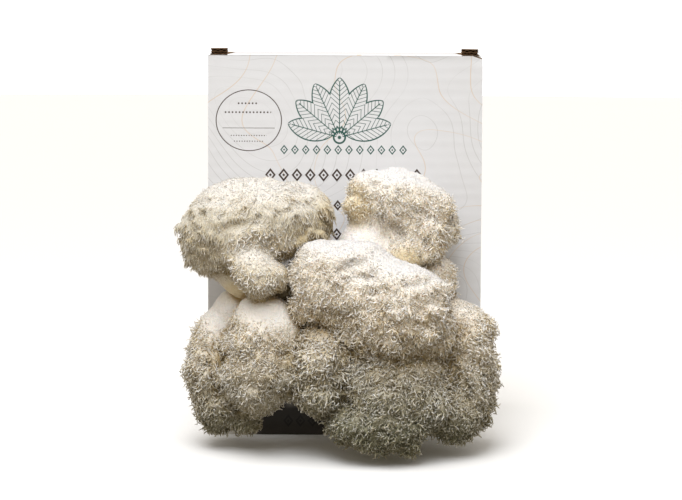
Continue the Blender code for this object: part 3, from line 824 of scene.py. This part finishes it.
def dressHead(name, values, obj, covered, florets, lobes, everything):
    mesh, seed, style = obj.data, values["seed"], values["style"]
    look, edges = dressSettings, dressSettings["edges"]
    length = values["length"] * mm
    places, normals = corners(mesh), vectors(mesh.vertex_normals, "vector")
    slope, height = normals[:, 2], places[:, 2]
    deep = np.minimum(lobes, atLeast(look["valley"]["floretLeast"], florets))
    valley = (1 - smoothStep(deep, *look["valley"]["span"])) * look["valley"]["share"] * covered
    valley *= lessen(height, *look["paleHeights"])
    hang = np.zeros(len(places))
    if style == "hanging":
        hang = 1 - smoothStep(height, *(np.array(values["hangBelow"]) * mm))
        hang *= 1 - zoneShare(places, values["woolly"], edges["woolly"])
    # painted shade in crevices and valleys, from how much of the way out is blocked; hanging spines get more
    recess = (crevices(mesh, everything) * look["crevice"] + valley) * values.get("depth", 1.0)
    recess = np.clip(recess + look["hangRecess"] * hang * covered, 0.0, 1.0)
    top = smoothStep(slope, *look["top"])
    high = smoothStep(height, *look["velvetHeights"])
    velvet = smoothStep(slope, *fleshSettings["velvetSlopes"]) * covered * high * values.get("velvet", 1.0)
    velvet = relax(mesh, velvet[:, None], np.ones(len(places)), look["velvetBlur"])[:, 0]
    pale = zoneShare(places, values.get("pale", ()), edges["pale"]) * covered
    pale = np.maximum(velvet, look["pale"] * pale)
    behind = smoothStep(normals[:, 1], *look["behind"]) * smoothStep(places[:, 1], *look["behindPlaces"])
    swirl = vectorField(places, look["clumpSize"], seed + 20) * styleSettings[style]["swirl"]
    swirl *= (1 - look["lean"]["velvetSwirl"] * velvet)[:, None]
    lean = normals * (1 - look["lean"]["hang"] * hang)[:, None] + swirl
    lean[:, 2] -= values["fall"] * (1 - look["lean"]["top"] * top)
    lean /= np.linalg.norm(lean, axis=1)[:, None]
    reach = length * (1 - (look["topShort"][0] + look["topShort"][1] * high) * top)
    reach *= 1 + look["patch"]["share"] * fieldOf(places, look["patch"]["size"], seed + 30)
    reach *= atLeast(look["baldLength"], covered) * atLeast(look["floretLength"], florets)
    reach *= look["lobeLength"][0] + look["lobeLength"][1] * lobes
    reach *= 1 - look["shorter"]["velvet"] * velvet - look["shorter"]["pale"] * pale
    reach *= lessen(-slope, *look["underShort"])
    reach *= lessen(-slope, *look["hangShort"]["slopes"], look["hangShort"]["share"] * hang)
    girth = look["girth"]
    thick = length * girth["length"] * atLeast(girth["baldLeast"], covered) * (1 - girth["velvet"] * velvet)
    # painted shade towards the floor, on hanging spines, and a head's own added shade
    damp = np.maximum(paintedShadeShare(places), look["hangShade"] * hang * covered) + values.get("shade", 0.0)
    stain = zoneShare(places, values.get("stain", ()), edges["stain"])
    cover = covered * (1 - look["cover"]["behind"] * behind) * lessen(recess, *look["cover"]["recess"])
    for layer, amount in {
        "cover": cover,
        "reach": reach,
        "girth": reach * girth["reach"] + thick,
        "hang": hang,
        "lean": lean,
        "recess": recess,
        "bald": 1 - covered,
        "velvet": pale,
        "damp": damp,
        "stain": np.maximum(stain, values.get("tan", 0.0)),
    }.items():
        store(mesh, layer, amount)
    mesh.shade_smooth()
    modifier = obj.modifiers.new("spines", "NODES")
    modifier.node_group = spineTree
    setInputs(modifier, {
        "Spacing": styleSettings[style]["spacing"],
        "Jitter": spineSettings["jitter"],
        "Spin": spineSettings["spin"],
        "Seed": seed,
        "Shapes": spineShapes,
        "Flesh": fleshMaterial,
        "Spines": spineMaterial,
    })
    freeze(obj)
    moveCorners(obj.data, stayClear(corners(obj.data)))
    triangles = triangleCount(obj.data)
    print(name, "has", triangles, "triangles")
    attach(obj, "root")
    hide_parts(values["node"])
    return triangles


spineShapes = bpy.data.collections.new("spineShapes")  # sorted by name, so the curly kinds come first
for spineStyle in styleSettings:
    makeSpineShapes(spineStyle, spineShapes)
spineTree = makeSpineTree()

trunkSettings = {"voxel": 0.0018, "soften": 8, "lumpSize": 0.012, "lumpHeight": 0.0006, "sink": 0.0003,
                 "seed": 5}


def makeTrunk():
    values = trunkSettings
    obj = softSkin("mushroom_base", "trunk", values["voxel"], values["soften"])
    mesh = obj.data
    places, normals = corners(mesh), vectors(mesh.vertex_normals, "vector")
    rise = fieldOf(places, values["lumpSize"], values["seed"]) * values["lumpHeight"] - values["sink"]
    moveCorners(mesh, places + normals * rise[:, None])
    mesh.shade_smooth()
    mesh.materials.clear()
    mesh.materials.append(fleshMaterial)
    return obj


def makeFruitBody():
    trunk = makeTrunk()
    grown = {name: growFlesh(name, values) for name, values in headSettings.items()}
    print("flesh is grown")
    flesh = [made[0].data for made in grown.values()]
    everything = treeOf([trunk.data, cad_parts["carton"].data, *flesh])
    places = corners(trunk.data)
    # painted shade in the trunk's crevices
    store(trunk.data, "recess", crevices(trunk.data, everything))
    store(trunk.data, "bald", np.ones(len(places)))
    # painted shade towards the floor on the trunk
    store(trunk.data, "damp", paintedShadeShare(places))
    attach(trunk, "root")
    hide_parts("mushroom_base")
    total = sum(dressHead(name, values, *grown[name], everything) for name, values in headSettings.items())
    print("all the heads have", total, "triangles")


makeFruitBody()

printSettings = {  # places are across and up on the flat front, in metres
    "ring": {"middle": (-0.0604, 0.1995), "radius": 0.0205, "squash": 1.075, "line": 0.00060},
    "rule": {"span": (-0.0769, -0.0441), "height": 0.1947, "line": 0.00035},
    "dots": ((-0.0668, -0.0544, 0.2102, 0.0022, 0.00055), (-0.0750, -0.0464, 0.2046, 0.0022, 0.00055),
             (-0.0714, -0.0492, 0.1900, 0.0016, 0.00035), (-0.0694, -0.0514, 0.1864, 0.0016, 0.00035)),
    "fan": {"foot": (-0.0035, 0.1890), "length": 0.0375, "width": 0.0068, "sector": 0.436, "side": 3,
            "shrink": 0.012, "line": 0.00058, "veinPitch": 0.0029, "slant": 0.9, "start": 0.14,
            "full": 4 / 0.74, "fullness": 0.8, "rib": (0.06, 0.93), "stem": (0.09, 0.16), "footRing": 0.0036,
            "footDot": 0.0022},
    "beads": (-0.0416, 0.0399, 0.1812, 0.00679, 0.0033),  # left, right, height, pitch and reach of a row
    "beadLine": 0.0008,
    "borders": ((-0.0510, 0.0494, 0.1653, 0.00837, 0.0046), (-0.0510, 0.0494, 0.1462, 0.00717, 0.0038),
                (-0.0510, 0.0494, 0.1279, 0.00837, 0.0044), (-0.0390, -0.0160, 0.0090, 0.00767, 0.0044)),
    "borderLine": 0.00125,
    # painted shadow on the front's foot, under the fruit body: its heights, its reach across and its wavy
    # edge
    "shadowHeights": (0.034, 0.021),
    "shadowAcross": (0.078, 0.050),
    "shadowWaves": 0.010,
    "contours": {"scale": 9.0, "probe": 0.0006, "stretch": 1.25, "leastSlope": 0.3},
    "lines": {"grey": (4.2, 0.033, 0.00045), "beige": (1.7, 0.075, 0.00055)},  # seed, spacing and width
    "flutes": 0.0066,
}

boardColors = {
    "white": rgb(0.695, 0.700, 0.722),
    "warmWhite": rgb(0.70, 0.697, 0.71),
    # painted shadow on the front's foot
    "damp": rgb(0.024, 0.020, 0.017),
    "beige": rgb(0.66, 0.545, 0.44),
    "grey": rgb(0.50, 0.50, 0.50),
    "brown": rgb(0.050, 0.032, 0.026),
    # the brown print inside the painted shadow
    "printInShadow": rgb(0.008, 0.006, 0.005),
    "green": rgb(0.022, 0.085, 0.072),
    "kraft": rgb(0.36, 0.23, 0.125),
    "darkKraft": rgb(0.26, 0.155, 0.078),
    "lightKraft": rgb(0.50, 0.34, 0.20),
    # dark: painted shade in the hollows of raw edges and flutes
    "dark": rgb(0.050, 0.026, 0.012),
    # fluteShade: painted shade in the flutes' hollows
    "fluteShade": rgb(0.14, 0.08, 0.04),
}


def within(value, low, high):
    return value.maths("GREATER_THAN", value, low) * value.maths("LESS_THAN", value, high)


def rounded(value):
    return value.maths("ROUND", value)


def lengthOf(across, up):
    return (across * across + up * up) ** 0.5


def stroke(distance, line):  # 1 where the distance to a drawn line is within half its width
    return distance.step(line * 0.65, line * 0.35)


def isoLines(sheet, across, up, seed, spacing, line):  # lines of equal height on a soft relief
    values = printSettings["contours"]
    probe = values["probe"]

    def height(stepAcross, stepUp):
        place = sheet.add("ShaderNodeCombineXYZ", {},
                          {0: across + stepAcross, 1: up * values["stretch"] + stepUp, 2: seed})
        return noiseOf(sheet, place, values["scale"], 0.6)

    here = height(0.0, 0.0)
    slope = lengthOf((height(probe, 0.0) - here) / probe, (height(0.0, probe) - here) / probe)
    level = here / spacing
    return stroke(abs(level - rounded(level)) * spacing / slope.larger(values["leastSlope"]), line)


def leafFan(across, up):  # a fan of veined leaves in line work
    values = printSettings["fan"]
    line, start = values["line"], values["start"]
    right = across - values["foot"][0]
    rise = up - values["foot"][1]
    angle = right.maths("ARCTAN2", right, rise)
    reach = lengthOf(right, rise)
    index = rounded(angle / values["sector"]).larger(-values["side"]).smaller(values["side"])
    turn = angle - index * values["sector"]
    along = reach * turn.maths("COSINE", turn)
    beside = abs(reach * turn.maths("SINE", turn))
    share = along / ((1 - index * index * values["shrink"]) * values["length"])
    shape = (share - start) * (1.0 - share) * values["full"]
    half = shape.larger(0.0) ** values["fullness"] * values["width"]
    outline = stroke(abs(beside - half), line * 1.5)
    vein = (along - beside * values["slant"]) / values["veinPitch"]
    vein = stroke(abs(vein - rounded(vein)) * values["veinPitch"], line * 0.8) * within(beside, 0.0, half)
    rib = stroke(beside, line) * within(share, *values["rib"])
    foot = stroke(abs(reach - values["footRing"]), line * 2) + stroke(reach, values["footDot"])
    stem = stroke(beside, line * 2) * within(share, *values["stem"])
    leaf = outline.larger(vein) * within(share, start, 1.0)
    return leaf.larger(rib).larger(foot).larger(stem).smaller(1.0)


def lozenges(across, up, left, right, height, pitch, reach, line):  # a row of outlined lozenges
    cell = (across - left) / pitch
    side = abs(cell - cell.maths("FLOOR", cell) - 0.5) * pitch
    rise = abs(up - height)
    ring = stroke(abs(side * 1.25 + rise - reach + line), line * 1.4)
    return ring.larger(stroke(side + rise, reach * 0.42)) * within(across, left, right)


def makeBoardMaterial():
    material, sheet, shader = newMaterial("printedBoard", 0.42, 0.30)
    flat, across, up = flatPlace(sheet)
    blotch = noiseOf(sheet, flat, 30.0, 3.0).step(0.3, 0.7)
    color = (blotch * 0.25).mix(boardColors["white"], boardColors["warmWhite"])
    fade = noiseOf(sheet, flat, 22.0, 1.0).step(0.35, 0.65)
    for tone, share in (("grey", fade * 0.5 + 0.15), ("beige", 0.9 - fade * 0.5)):
        lines = isoLines(sheet, across, up, *printSettings["lines"][tone])
        color = (lines * share).mix(color, boardColors[tone])
    ring, rule = printSettings["ring"], printSettings["rule"]
    away = lengthOf(across - ring["middle"][0], (up - ring["middle"][1]) * ring["squash"])
    brown = stroke(abs(away - ring["radius"]), ring["line"])
    brown = brown.larger(stroke(abs(up - rule["height"]), rule["line"]) * within(across, *rule["span"]))
    for left, end, height, pitch, radius in printSettings["dots"]:
        cell = (across - left) / pitch
        dot = stroke(lengthOf((cell - rounded(cell)) * pitch, up - height), radius * 2)
        brown = brown.larger(dot * within(across, left - radius, end))
    for border in printSettings["borders"]:
        brown = brown.larger(lozenges(across, up, *border, printSettings["borderLine"]))
    beads = lozenges(across, up, *printSettings["beads"], printSettings["beadLine"])
    foot = up + noiseOf(sheet, flat, 60.0, 3.0) * printSettings["shadowWaves"]
    foot = foot.step(*printSettings["shadowHeights"])
    foot = foot * abs(across).step(*printSettings["shadowAcross"])
    color = foot.mix(color, boardColors["damp"])  # painted shadow: the front's foot is darkened where the fruit body hangs over it
    # the brown print is darkened within the painted shadow
    color = brown.mix(color, foot.mix(boardColors["brown"], boardColors["printInShadow"]))
    feed(shader, "Base Color", beads.larger(leafFan(across, up)).mix(color, boardColors["green"]))
    ripple = up.maths("SINE", up * (2 * math.pi / printSettings["flutes"]))  # the flutes press through
    dents = noiseOf(sheet, flat, 45.0, 2.0) * 6.0
    fibres = noiseOf(sheet, flat, 1400.0, 2.0) * 0.35
    roughen(sheet, shader, ripple * 0.3 + dents + fibres, 0.0002, 0.35)
    return material


def makeKraftMaterial():
    material, sheet, shader = newMaterial("kraftLiner", 0.85, 0.15)
    place = objectPlace(sheet)
    fibres = noiseOf(sheet, place, 1500.0, 3.0)
    tone = (fibres * 0.6 + noiseOf(sheet, place, 60.0, 2.0) * 0.5).smaller(1.0)
    feed(shader, "Base Color", tone.mix(boardColors["darkKraft"], boardColors["lightKraft"]))
    roughen(sheet, shader, fibres, 0.0002, 0.5)
    return material


def makeEdgeMaterial():
    # a raw edge: two liners with the flutes between them, drawn from the edge's own UV; the open hollows
    # between are painted dark: painted shade
    material, sheet, shader = newMaterial("rawEdge", 0.9, 0.1)
    flat, along, depth = flatPlace(sheet)
    wave = along.maths("SINE", along * (2 * math.pi / 0.0062)) * 0.36 + 0.5
    paper = stroke(abs(depth - wave), 0.16).larger(1 - within(depth, 0.13, 0.87)).smaller(1.0)
    feed(shader, "Base Color", paper.mix(boardColors["dark"], boardColors["kraft"]))
    roughen(sheet, shader, paper, 0.0004, 0.8)
    return material


def makeFluteMaterial():
    material, sheet, shader = newMaterial("scorchedFlutes", 0.9, 0.1)
    # the flutes are painted near black: painted shade inside them
    tone = noiseOf(sheet, objectPlace(sheet), 700.0, 3.0)
    feed(shader, "Base Color", tone.mix(boardColors["dark"], boardColors["fluteShade"]))
    return material


boardSettings = {
    "halfWidth": 0.086,
    "back": 0.060,
    "top": 0.241,
    "board": 0.003,
    "fold": 0.0009,  # radius of the outside of a fold
    "foldSteps": 5,
    "flap": (-0.0738, 0.0728, 0.0566),  # left, right and back ends of the top and bottom flaps
    "relief": 0.0004,  # cut beside a flap's fold
    "corner": (0.0006, 0.2404),  # lowest and highest points of the front panel beside the flaps
    "sideWall": 0.085,
    "innerPly": 0.0742,
    "cap": -0.0566,  # where a side wall rolls over behind the front panel
    "flare": 0.02,  # the side walls widen to the full width from here back
    "tray": (0.0004, 0.2406),
    "plyEnd": 0.0562,
    "step": 0.0032,
    "slabStep": 0.004,
    "window": {"halfWidth": 0.038, "low": 0.026, "high": 0.110, "corner": 0.008, "tear": 0.0014,
               "fibres": 400, "innerTear": 0.6},
    "dent": 0.0004,
    "dentSize": 0.045,
    "skin": 0.0002,  # points this close to the outside count as outside
    "crush": {"at": (0.086, -0.060, 0.241), "push": (-0.0006, 0.0008, -0.0020), "radius": 0.007},
    "dust": {"x": (0.0780, 0.0812), "y": (-0.050, 0.030), "z": (0.150, 0.2395), "step": 0.02},
    "sharp": 35,  # edges that turn by more degrees stay sharp
}

lugSettings = {
    "sides": ((-0.0847, 0.00006), (0.0729, -0.00008)),  # left end, and how far the top leans
    "width": 0.0108,
    "y": (-0.0590, -0.0470),
    "liners": ((0.24070, 0.24110), (0.24240, 0.24275), (0.24410, 0.24460)),
    "inset": 0.0002,
    "frontInset": 0.0003,
    "phases": (0.0, 1.3),
    "points": 41,
    "pitch": 0.0040,
    "paper": 0.00028,
    "stopDepth": 0.004,
}


def spread(marks, step):  # positions at every mark and evenly between them
    found = [marks[0]]
    for low, high in zip(marks, marks[1:]):
        count = max(1, round((high - low) / step))
        found += [low + (high - low) * (part + 1) / count for part in range(count)]
    return np.array(found)


def thickSheet(bm, outer, inner, flat, kept=None, kinds=(0, 1, 2)):
    # a board between two grids of points, closed along every free edge; flat is its place before folding
    rows, columns = outer.shape[:2]
    if kept is None:
        kept = np.ones((rows - 1, columns - 1), bool)
    layer = bm.loops.layers.uv.get("flat") or bm.loops.layers.uv.new("flat")
    made = {}

    def vertex(key):
        if key not in made:
            made[key] = bm.verts.new((outer, inner)[key[0]][key[1:]])
        return made[key]

    def face(keys, kind, places):
        new = bm.faces.new([vertex(key) for key in keys])
        new.material_index = kinds[kind]
        for loop, place in zip(new.loops, places):
            loop[layer].uv = place

    for row, column in zip(*np.nonzero(kept)):
        ring = [(row, column), (row, column + 1), (row + 1, column + 1), (row + 1, column)]
        for side, spots in enumerate((ring, ring[::-1])):
            face([(side, *spot) for spot in spots], side, [flat[spot] for spot in spots])
        beside = ((row - 1, column), (row, column + 1), (row + 1, column), (row, column - 1))
        for index, (otherRow, otherColumn) in enumerate(beside):
            free = not (0 <= otherRow < rows - 1 and 0 <= otherColumn < columns - 1)
            if free or not kept[otherRow, otherColumn]:
                a, b = ring[index], ring[(index + 1) % 4]
                axis = int(np.argmax(np.abs(outer[b] - outer[a])))
                start, end = outer[a][axis], outer[b][axis]
                face([(0, *b), (0, *a), (1, *a), (1, *b)], 2, [(end, 0), (start, 0), (start, 1), (end, 1)])


def dentBoard(places):  # soft dents, only inwards
    share = 0.5 + 0.5 * fieldOf(places.reshape(-1, 3), boardSettings["dentSize"], 3)
    return share.reshape(places.shape[:2]) * boardSettings["dent"]


def crush(places):
    values = boardSettings["crush"]
    distance = np.linalg.norm(places - np.array(values["at"]), axis=-1)
    share = 1 - smoothStep(distance, 0.0, values["radius"])
    return places + share[..., None] * np.array(values["push"])


def foldArc():  # how far the points round a fold lie from its two flat sides
    turns = np.linspace(0, math.pi / 2, boardSettings["foldSteps"] + 1)
    return [(boardSettings["fold"] * (1 - math.cos(turn)), boardSettings["fold"] * (1 - math.sin(turn)))
            for turn in turns]


def addLid(bm):
    # the front panel with the flaps that fold back over the top and the bottom
    values = boardSettings
    half, board, fold, top = values["halfWidth"], values["board"], values["fold"], values["top"]
    left, right, back = values["flap"]
    relief, window, arc = values["relief"], values["window"], foldArc()[1:-1]
    across = spread((-half, left - relief, left, -window["halfWidth"], window["halfWidth"], right,
                     right + relief, half), values["step"])
    depths = spread((frontY + fold, back), values["step"] * 2)
    # y, z and flat height of each row, and whether it is flap, fold or panel
    path = [(depth, 0.0, frontY - depth, "flap") for depth in depths[::-1]]
    path += [(frontY + inset, rise, 0.0, "fold") for inset, rise in arc[::-1]]
    path += [(frontY, height, height, "panel")
             for height in spread((fold, window["low"], window["high"], top - fold), values["step"])]
    path += [(frontY + inset, top - rise, top, "fold") for inset, rise in arc]
    path += [(depth, top, top + depth - frontY, "flap") for depth in depths]
    shape = len(path), len(across)
    outer, inner, flat = np.zeros((*shape, 3)), np.zeros((*shape, 3)), np.zeros((*shape, 2))
    for row, (y, z, flatHeight, kind) in enumerate(path):
        for column, x in enumerate(across):
            beside = x < left - relief / 2 or x > right + relief / 2
            place = np.array((x, y, z))
            if beside and kind == "fold":  # beside the flaps the panel's edge stays upright
                place[1:] = frontY, min(max(z, values["corner"][0]), values["corner"][1])
            outer[row, column] = place
            inner[row, column] = (x, max(place[1], frontY + board),
                                  place[2] if beside else min(max(place[2], board), top - board))
            flat[row, column] = (x, flatHeight)
    dents = dentBoard(outer)
    panel = np.array([row[3] == "panel" for row in path])[:, None]
    lid = np.array([row[3] == "flap" and row[1] > 0 for row in path])[:, None]
    for grid in (outer, inner):
        grid[..., 1] += dents * panel
        grid[..., 2] -= dents * lid
    kept = np.zeros((shape[0] - 1, shape[1] - 1), bool)
    inWindow = np.zeros(shape, bool)
    middle, tall = (window["low"] + window["high"]) / 2, (window["high"] - window["low"]) / 2
    for row, (one, other) in enumerate(zip(path, path[1:])):
        height = (one[1] + other[1]) / 2
        inPanel = one[3] == other[3] == "panel"
        noFlap = "flap" not in (one[3], other[3])
        for column, x in enumerate((across[1:] + across[:-1]) / 2):
            outside = x < left - relief or x > right + relief
            kept[row, column] = inPanel or left < x < right or (outside and noFlap)
            sideways = max(abs(x) - window["halfWidth"] + window["corner"], 0.0)
            upright = max(abs(height - middle) - tall + window["corner"], 0.0)
            if inPanel and math.hypot(sideways, upright) < window["corner"]:
                kept[row, column] = False
                inWindow[row:row + 2, column:column + 2] = True
    for row, column in zip(*np.nonzero(inWindow)):  # the window's torn edge
        place = Vector(outer[row, column])
        outwards = np.array(Vector((place.x, 0, place.z - middle)).normalized())
        tear = window["tear"] * (0.5 + 0.5 * noise.noise(place * window["fibres"]))
        outer[row, column] += outwards * tear
        inner[row, column] += outwards * tear * window["innerTear"]
    thickSheet(bm, crush(outer), crush(inner), flat, kept)


def addTray(bm):
    # the back panel with doubled side walls that roll over behind the front panel
    values = boardSettings
    board, fold, side, ply = values["board"], values["fold"], values["sideWall"], values["innerPly"]
    cap, back, half, arc = values["cap"], values["back"], values["halfWidth"], foldArc()
    step = values["step"] * 2
    # outside and inside points across and back, on the left half
    pairs = [((-ply, y), (-ply - board, max(y, cap + board)))
             for y in spread((values["plyEnd"], cap + fold), -step)]
    pairs += [((-ply - inset, cap + rise), (-ply - board, cap + board)) for inset, rise in arc[1:]]
    pairs += [((-side + inset, cap + rise), (-side + board, cap + board)) for inset, rise in arc[::-1]]
    for y in spread((cap + fold, back - fold), step)[1:]:
        out = side + (half - side) * float(smoothStep(np.array(y), values["flare"], back - fold))
        pairs.append(((-out, y), (-out + board, min(max(y, cap + board), back - board))))
    pairs += [((-half + inset, back - rise), (-half + board, back - board)) for inset, rise in arc[1:]]
    pairs += [((x, back), (max(x, -half + board), back - board))
              for x in spread((-half + fold, 0.0), step)[1:]]
    pairs += [((-a[0], a[1]), (-b[0], b[1])) for a, b in pairs[-2::-1]]
    heights = spread(values["tray"], step)
    shape = len(heights), len(pairs)
    outer, inner, flat = np.zeros((*shape, 3)), np.zeros((*shape, 3)), np.zeros((*shape, 2))
    travelled = 1.0  # this far from the printed front on the flat board
    for column, (outside, inside) in enumerate(pairs):
        if column:
            travelled += math.dist(outside, pairs[column - 1][0])
        for row, z in enumerate(heights):
            outer[row, column] = (*outside, z)
            inner[row, column] = (*inside, z)
            flat[row, column] = (travelled, z)
    atBack = outer[..., 1] > back - board
    outmost = (np.abs(outer[..., 0]) > side - values["skin"]) | (outer[..., 1] > back - values["skin"])
    move = np.zeros_like(outer)
    move[..., 0] = np.where(atBack, 0.0, -np.sign(outer[..., 0]))
    move[..., 1] = np.where(atBack, -1.0, 0.0)
    move *= (dentBoard(outer) * outmost)[..., None]
    thickSheet(bm, outer + move, inner + move, flat)


def addSlab(bm, low, high, kinds):  # a flat board that lies level
    step = boardSettings["slabStep"]
    across, depths = (spread((low[axis], high[axis]), step) for axis in (0, 1))
    outer = np.array([[(x, y, high[2]) for x in across] for y in depths])
    inner = outer.copy()
    inner[..., 2] = low[2]
    thickSheet(bm, outer, inner, outer[..., :2] + 2.0, kinds=kinds)


def addLug(bm, left, lean):
    # the raw end of a doubled side wall: three liners with two layers of flutes
    values = lugSettings
    right, inset, paper = left + values["width"], values["inset"], values["paper"]
    front, back = values["y"]
    liners = values["liners"]
    gaps = [(low[1], high[0]) for low, high in zip(liners, liners[1:])]
    start = len(bm.verts)
    for index, (low, high) in enumerate(liners):
        shift = inset * index
        # the liners' rims take the near-black flute paper too: painted shade
        addSlab(bm, (left + shift, front + shift, low), (right - shift, back, high), (1, 1, 3))
    for (low, high), phase in zip(gaps, values["phases"]):
        across = np.linspace(left + inset, right - inset, values["points"])
        wave = np.sin(across * (2 * math.pi / values["pitch"]) + phase)
        rise = (low + high) / 2 + (high - low - paper) / 2 * wave
        outer = np.array([[(x, y, z + paper / 2) for x, z in zip(across, rise)]
                          for y in (front + values["frontInset"], back)])
        inner = outer.copy()
        inner[..., 2] -= paper
        thickSheet(bm, outer, inner, outer[..., :2], kinds=(3, 3, 3))
    for low, high in gaps:  # closes the flutes' back ends with dark board: painted shade
        lowest = (left + inset * 2, back - values["stopDepth"], low)
        addSlab(bm, lowest, (right - inset * 2, back - inset, high), (3, 3, 3))
    for vertex in list(bm.verts)[start:]:
        vertex.co.z += lean * (vertex.co.x - (left + right) / 2) / (values["width"] / 2)


def makeCartonBoards():
    bm = bmesh.new()
    addLid(bm)
    addTray(bm)
    dust = boardSettings["dust"]
    ys, zs = spread(dust["y"], dust["step"]), spread(dust["z"], dust["step"])
    for sign in (-1, 1):
        xs = sorted(sign * x for x in dust["x"])
        outer = np.array([[(xs[0], y, z) for y in ys] for z in zs])
        inner = outer.copy()
        inner[..., 0] = xs[1]
        thickSheet(bm, outer, inner, outer[..., 1:] + 2.0, kinds=(1, 1, 2))
    for left, lean in lugSettings["sides"]:
        addLug(bm, left, lean)
    bmesh.ops.dissolve_degenerate(bm, dist=1e-6, edges=bm.edges)
    bmesh.ops.recalc_face_normals(bm, faces=bm.faces)
    mesh = bpy.data.meshes.new("cartonBoards")
    bm.to_mesh(mesh)
    bm.free()
    for makeMaterial in (makeBoardMaterial, makeKraftMaterial, makeEdgeMaterial, makeFluteMaterial):
        mesh.materials.append(makeMaterial())
    obj = objectFrom(mesh, "cartonBoards")
    mesh.shade_smooth()
    mesh.set_sharp_from_angle(angle=math.radians(boardSettings["sharp"]))
    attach(obj, "root")
    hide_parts("carton")
    print("carton boards have", triangleCount(mesh), "triangles")


makeCartonBoards()

filmSettings = {
    "longest": 0.006,  # edges are split down to this
    "splits": 6,
    "shoulder": (0.2096, 0.2200),  # wrinkles grow between these heights
    "wrinkles": (0.00010, 0.0013),  # on the sides and on the top
    "wrinkleSize": (0.016, 0.016, 0.045),  # across, back and up: long upright creases
    "ceiling": 0.2374,
    "sharp": 50,
    "color": rgb(0.80, 0.83, 0.83),
}

blockColors = {
    "dark": rgb(0.20, 0.115, 0.055),
    "light": rgb(0.47, 0.31, 0.17),
    "threads": rgb(0.84, 0.81, 0.75),
}


def makeFilmMaterial():
    others = {"Base Color": filmSettings["color"], "Coat Weight": 0.25, "Coat Roughness": 0.15}
    material, sheet, shader = newMaterial("milkyFilm", 0.24, 0.6, others)
    place = objectPlace(sheet)
    feed(shader, "Alpha", noiseOf(sheet, place, 40.0, 3.0).step(0.3, 0.7) * 0.22 + 0.36)
    roughen(sheet, shader, noiseOf(sheet, place, 160.0, 3.0, 0.7), 0.0006, 0.5)
    return material


def makeSawdustMaterial():
    # pressed sawdust, grown through with white threads
    material, sheet, shader = newMaterial("sawdustBlock", 0.95, 0.1)
    place = objectPlace(sheet)
    chips = sheet.add("ShaderNodeTexVoronoi", {}, {"Vector": place, "Scale": 520.0}, 1)
    tone = sheet.add("ShaderNodeSeparateColor", {}, {0: chips})
    growth = noiseOf(sheet, place, 26.0, 5.0, 0.6).step(0.40, 0.62)
    threads = noiseOf(sheet, place, 240.0, 4.0, 0.7).step(0.42, 0.60)
    color = tone.mix(blockColors["dark"], blockColors["light"])
    feed(shader, "Base Color", (growth * (threads * 0.7 + 0.25)).mix(color, blockColors["threads"]))
    roughen(sheet, shader, tone + threads * 0.6, 0.0006, 0.7)
    return material


def makeBag():
    values = filmSettings
    mesh = mergedCopy("grow_bag")
    bm = bmesh.new()
    bm.from_mesh(mesh)
    for split in range(values["splits"]):
        long = [edge for edge in bm.edges if edge.calc_length() > values["longest"]]
        if not long:
            break
        bmesh.ops.subdivide_edges(bm, edges=long, cuts=1)
        bmesh.ops.triangulate(bm, faces=bm.faces)
    bm.to_mesh(mesh)
    bm.free()
    places = corners(mesh)
    low, high = values["wrinkles"]
    amount = low + (high - low) * smoothStep(places[:, 2], *values["shoulder"])
    places += vectorField(places / np.array(values["wrinkleSize"]), 1.0, 0) * amount[:, None]
    places[:, 2] = np.minimum(places[:, 2], values["ceiling"])
    moveCorners(mesh, places)
    mesh.materials.clear()
    mesh.materials.append(makeFilmMaterial())
    obj = objectFrom(mesh, "filmBag")
    mesh.shade_smooth()
    mesh.set_sharp_from_angle(angle=math.radians(values["sharp"]))
    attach(obj, "root")
    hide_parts("grow_bag")
    print("bag has", triangleCount(mesh), "triangles")


def finishBlock():  # the block stays as the CAD has it, with its own material
    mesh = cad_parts["substrate_block"].data
    mesh.materials.clear()
    mesh.materials.append(makeSawdustMaterial())


makeBag()
finishBlock()
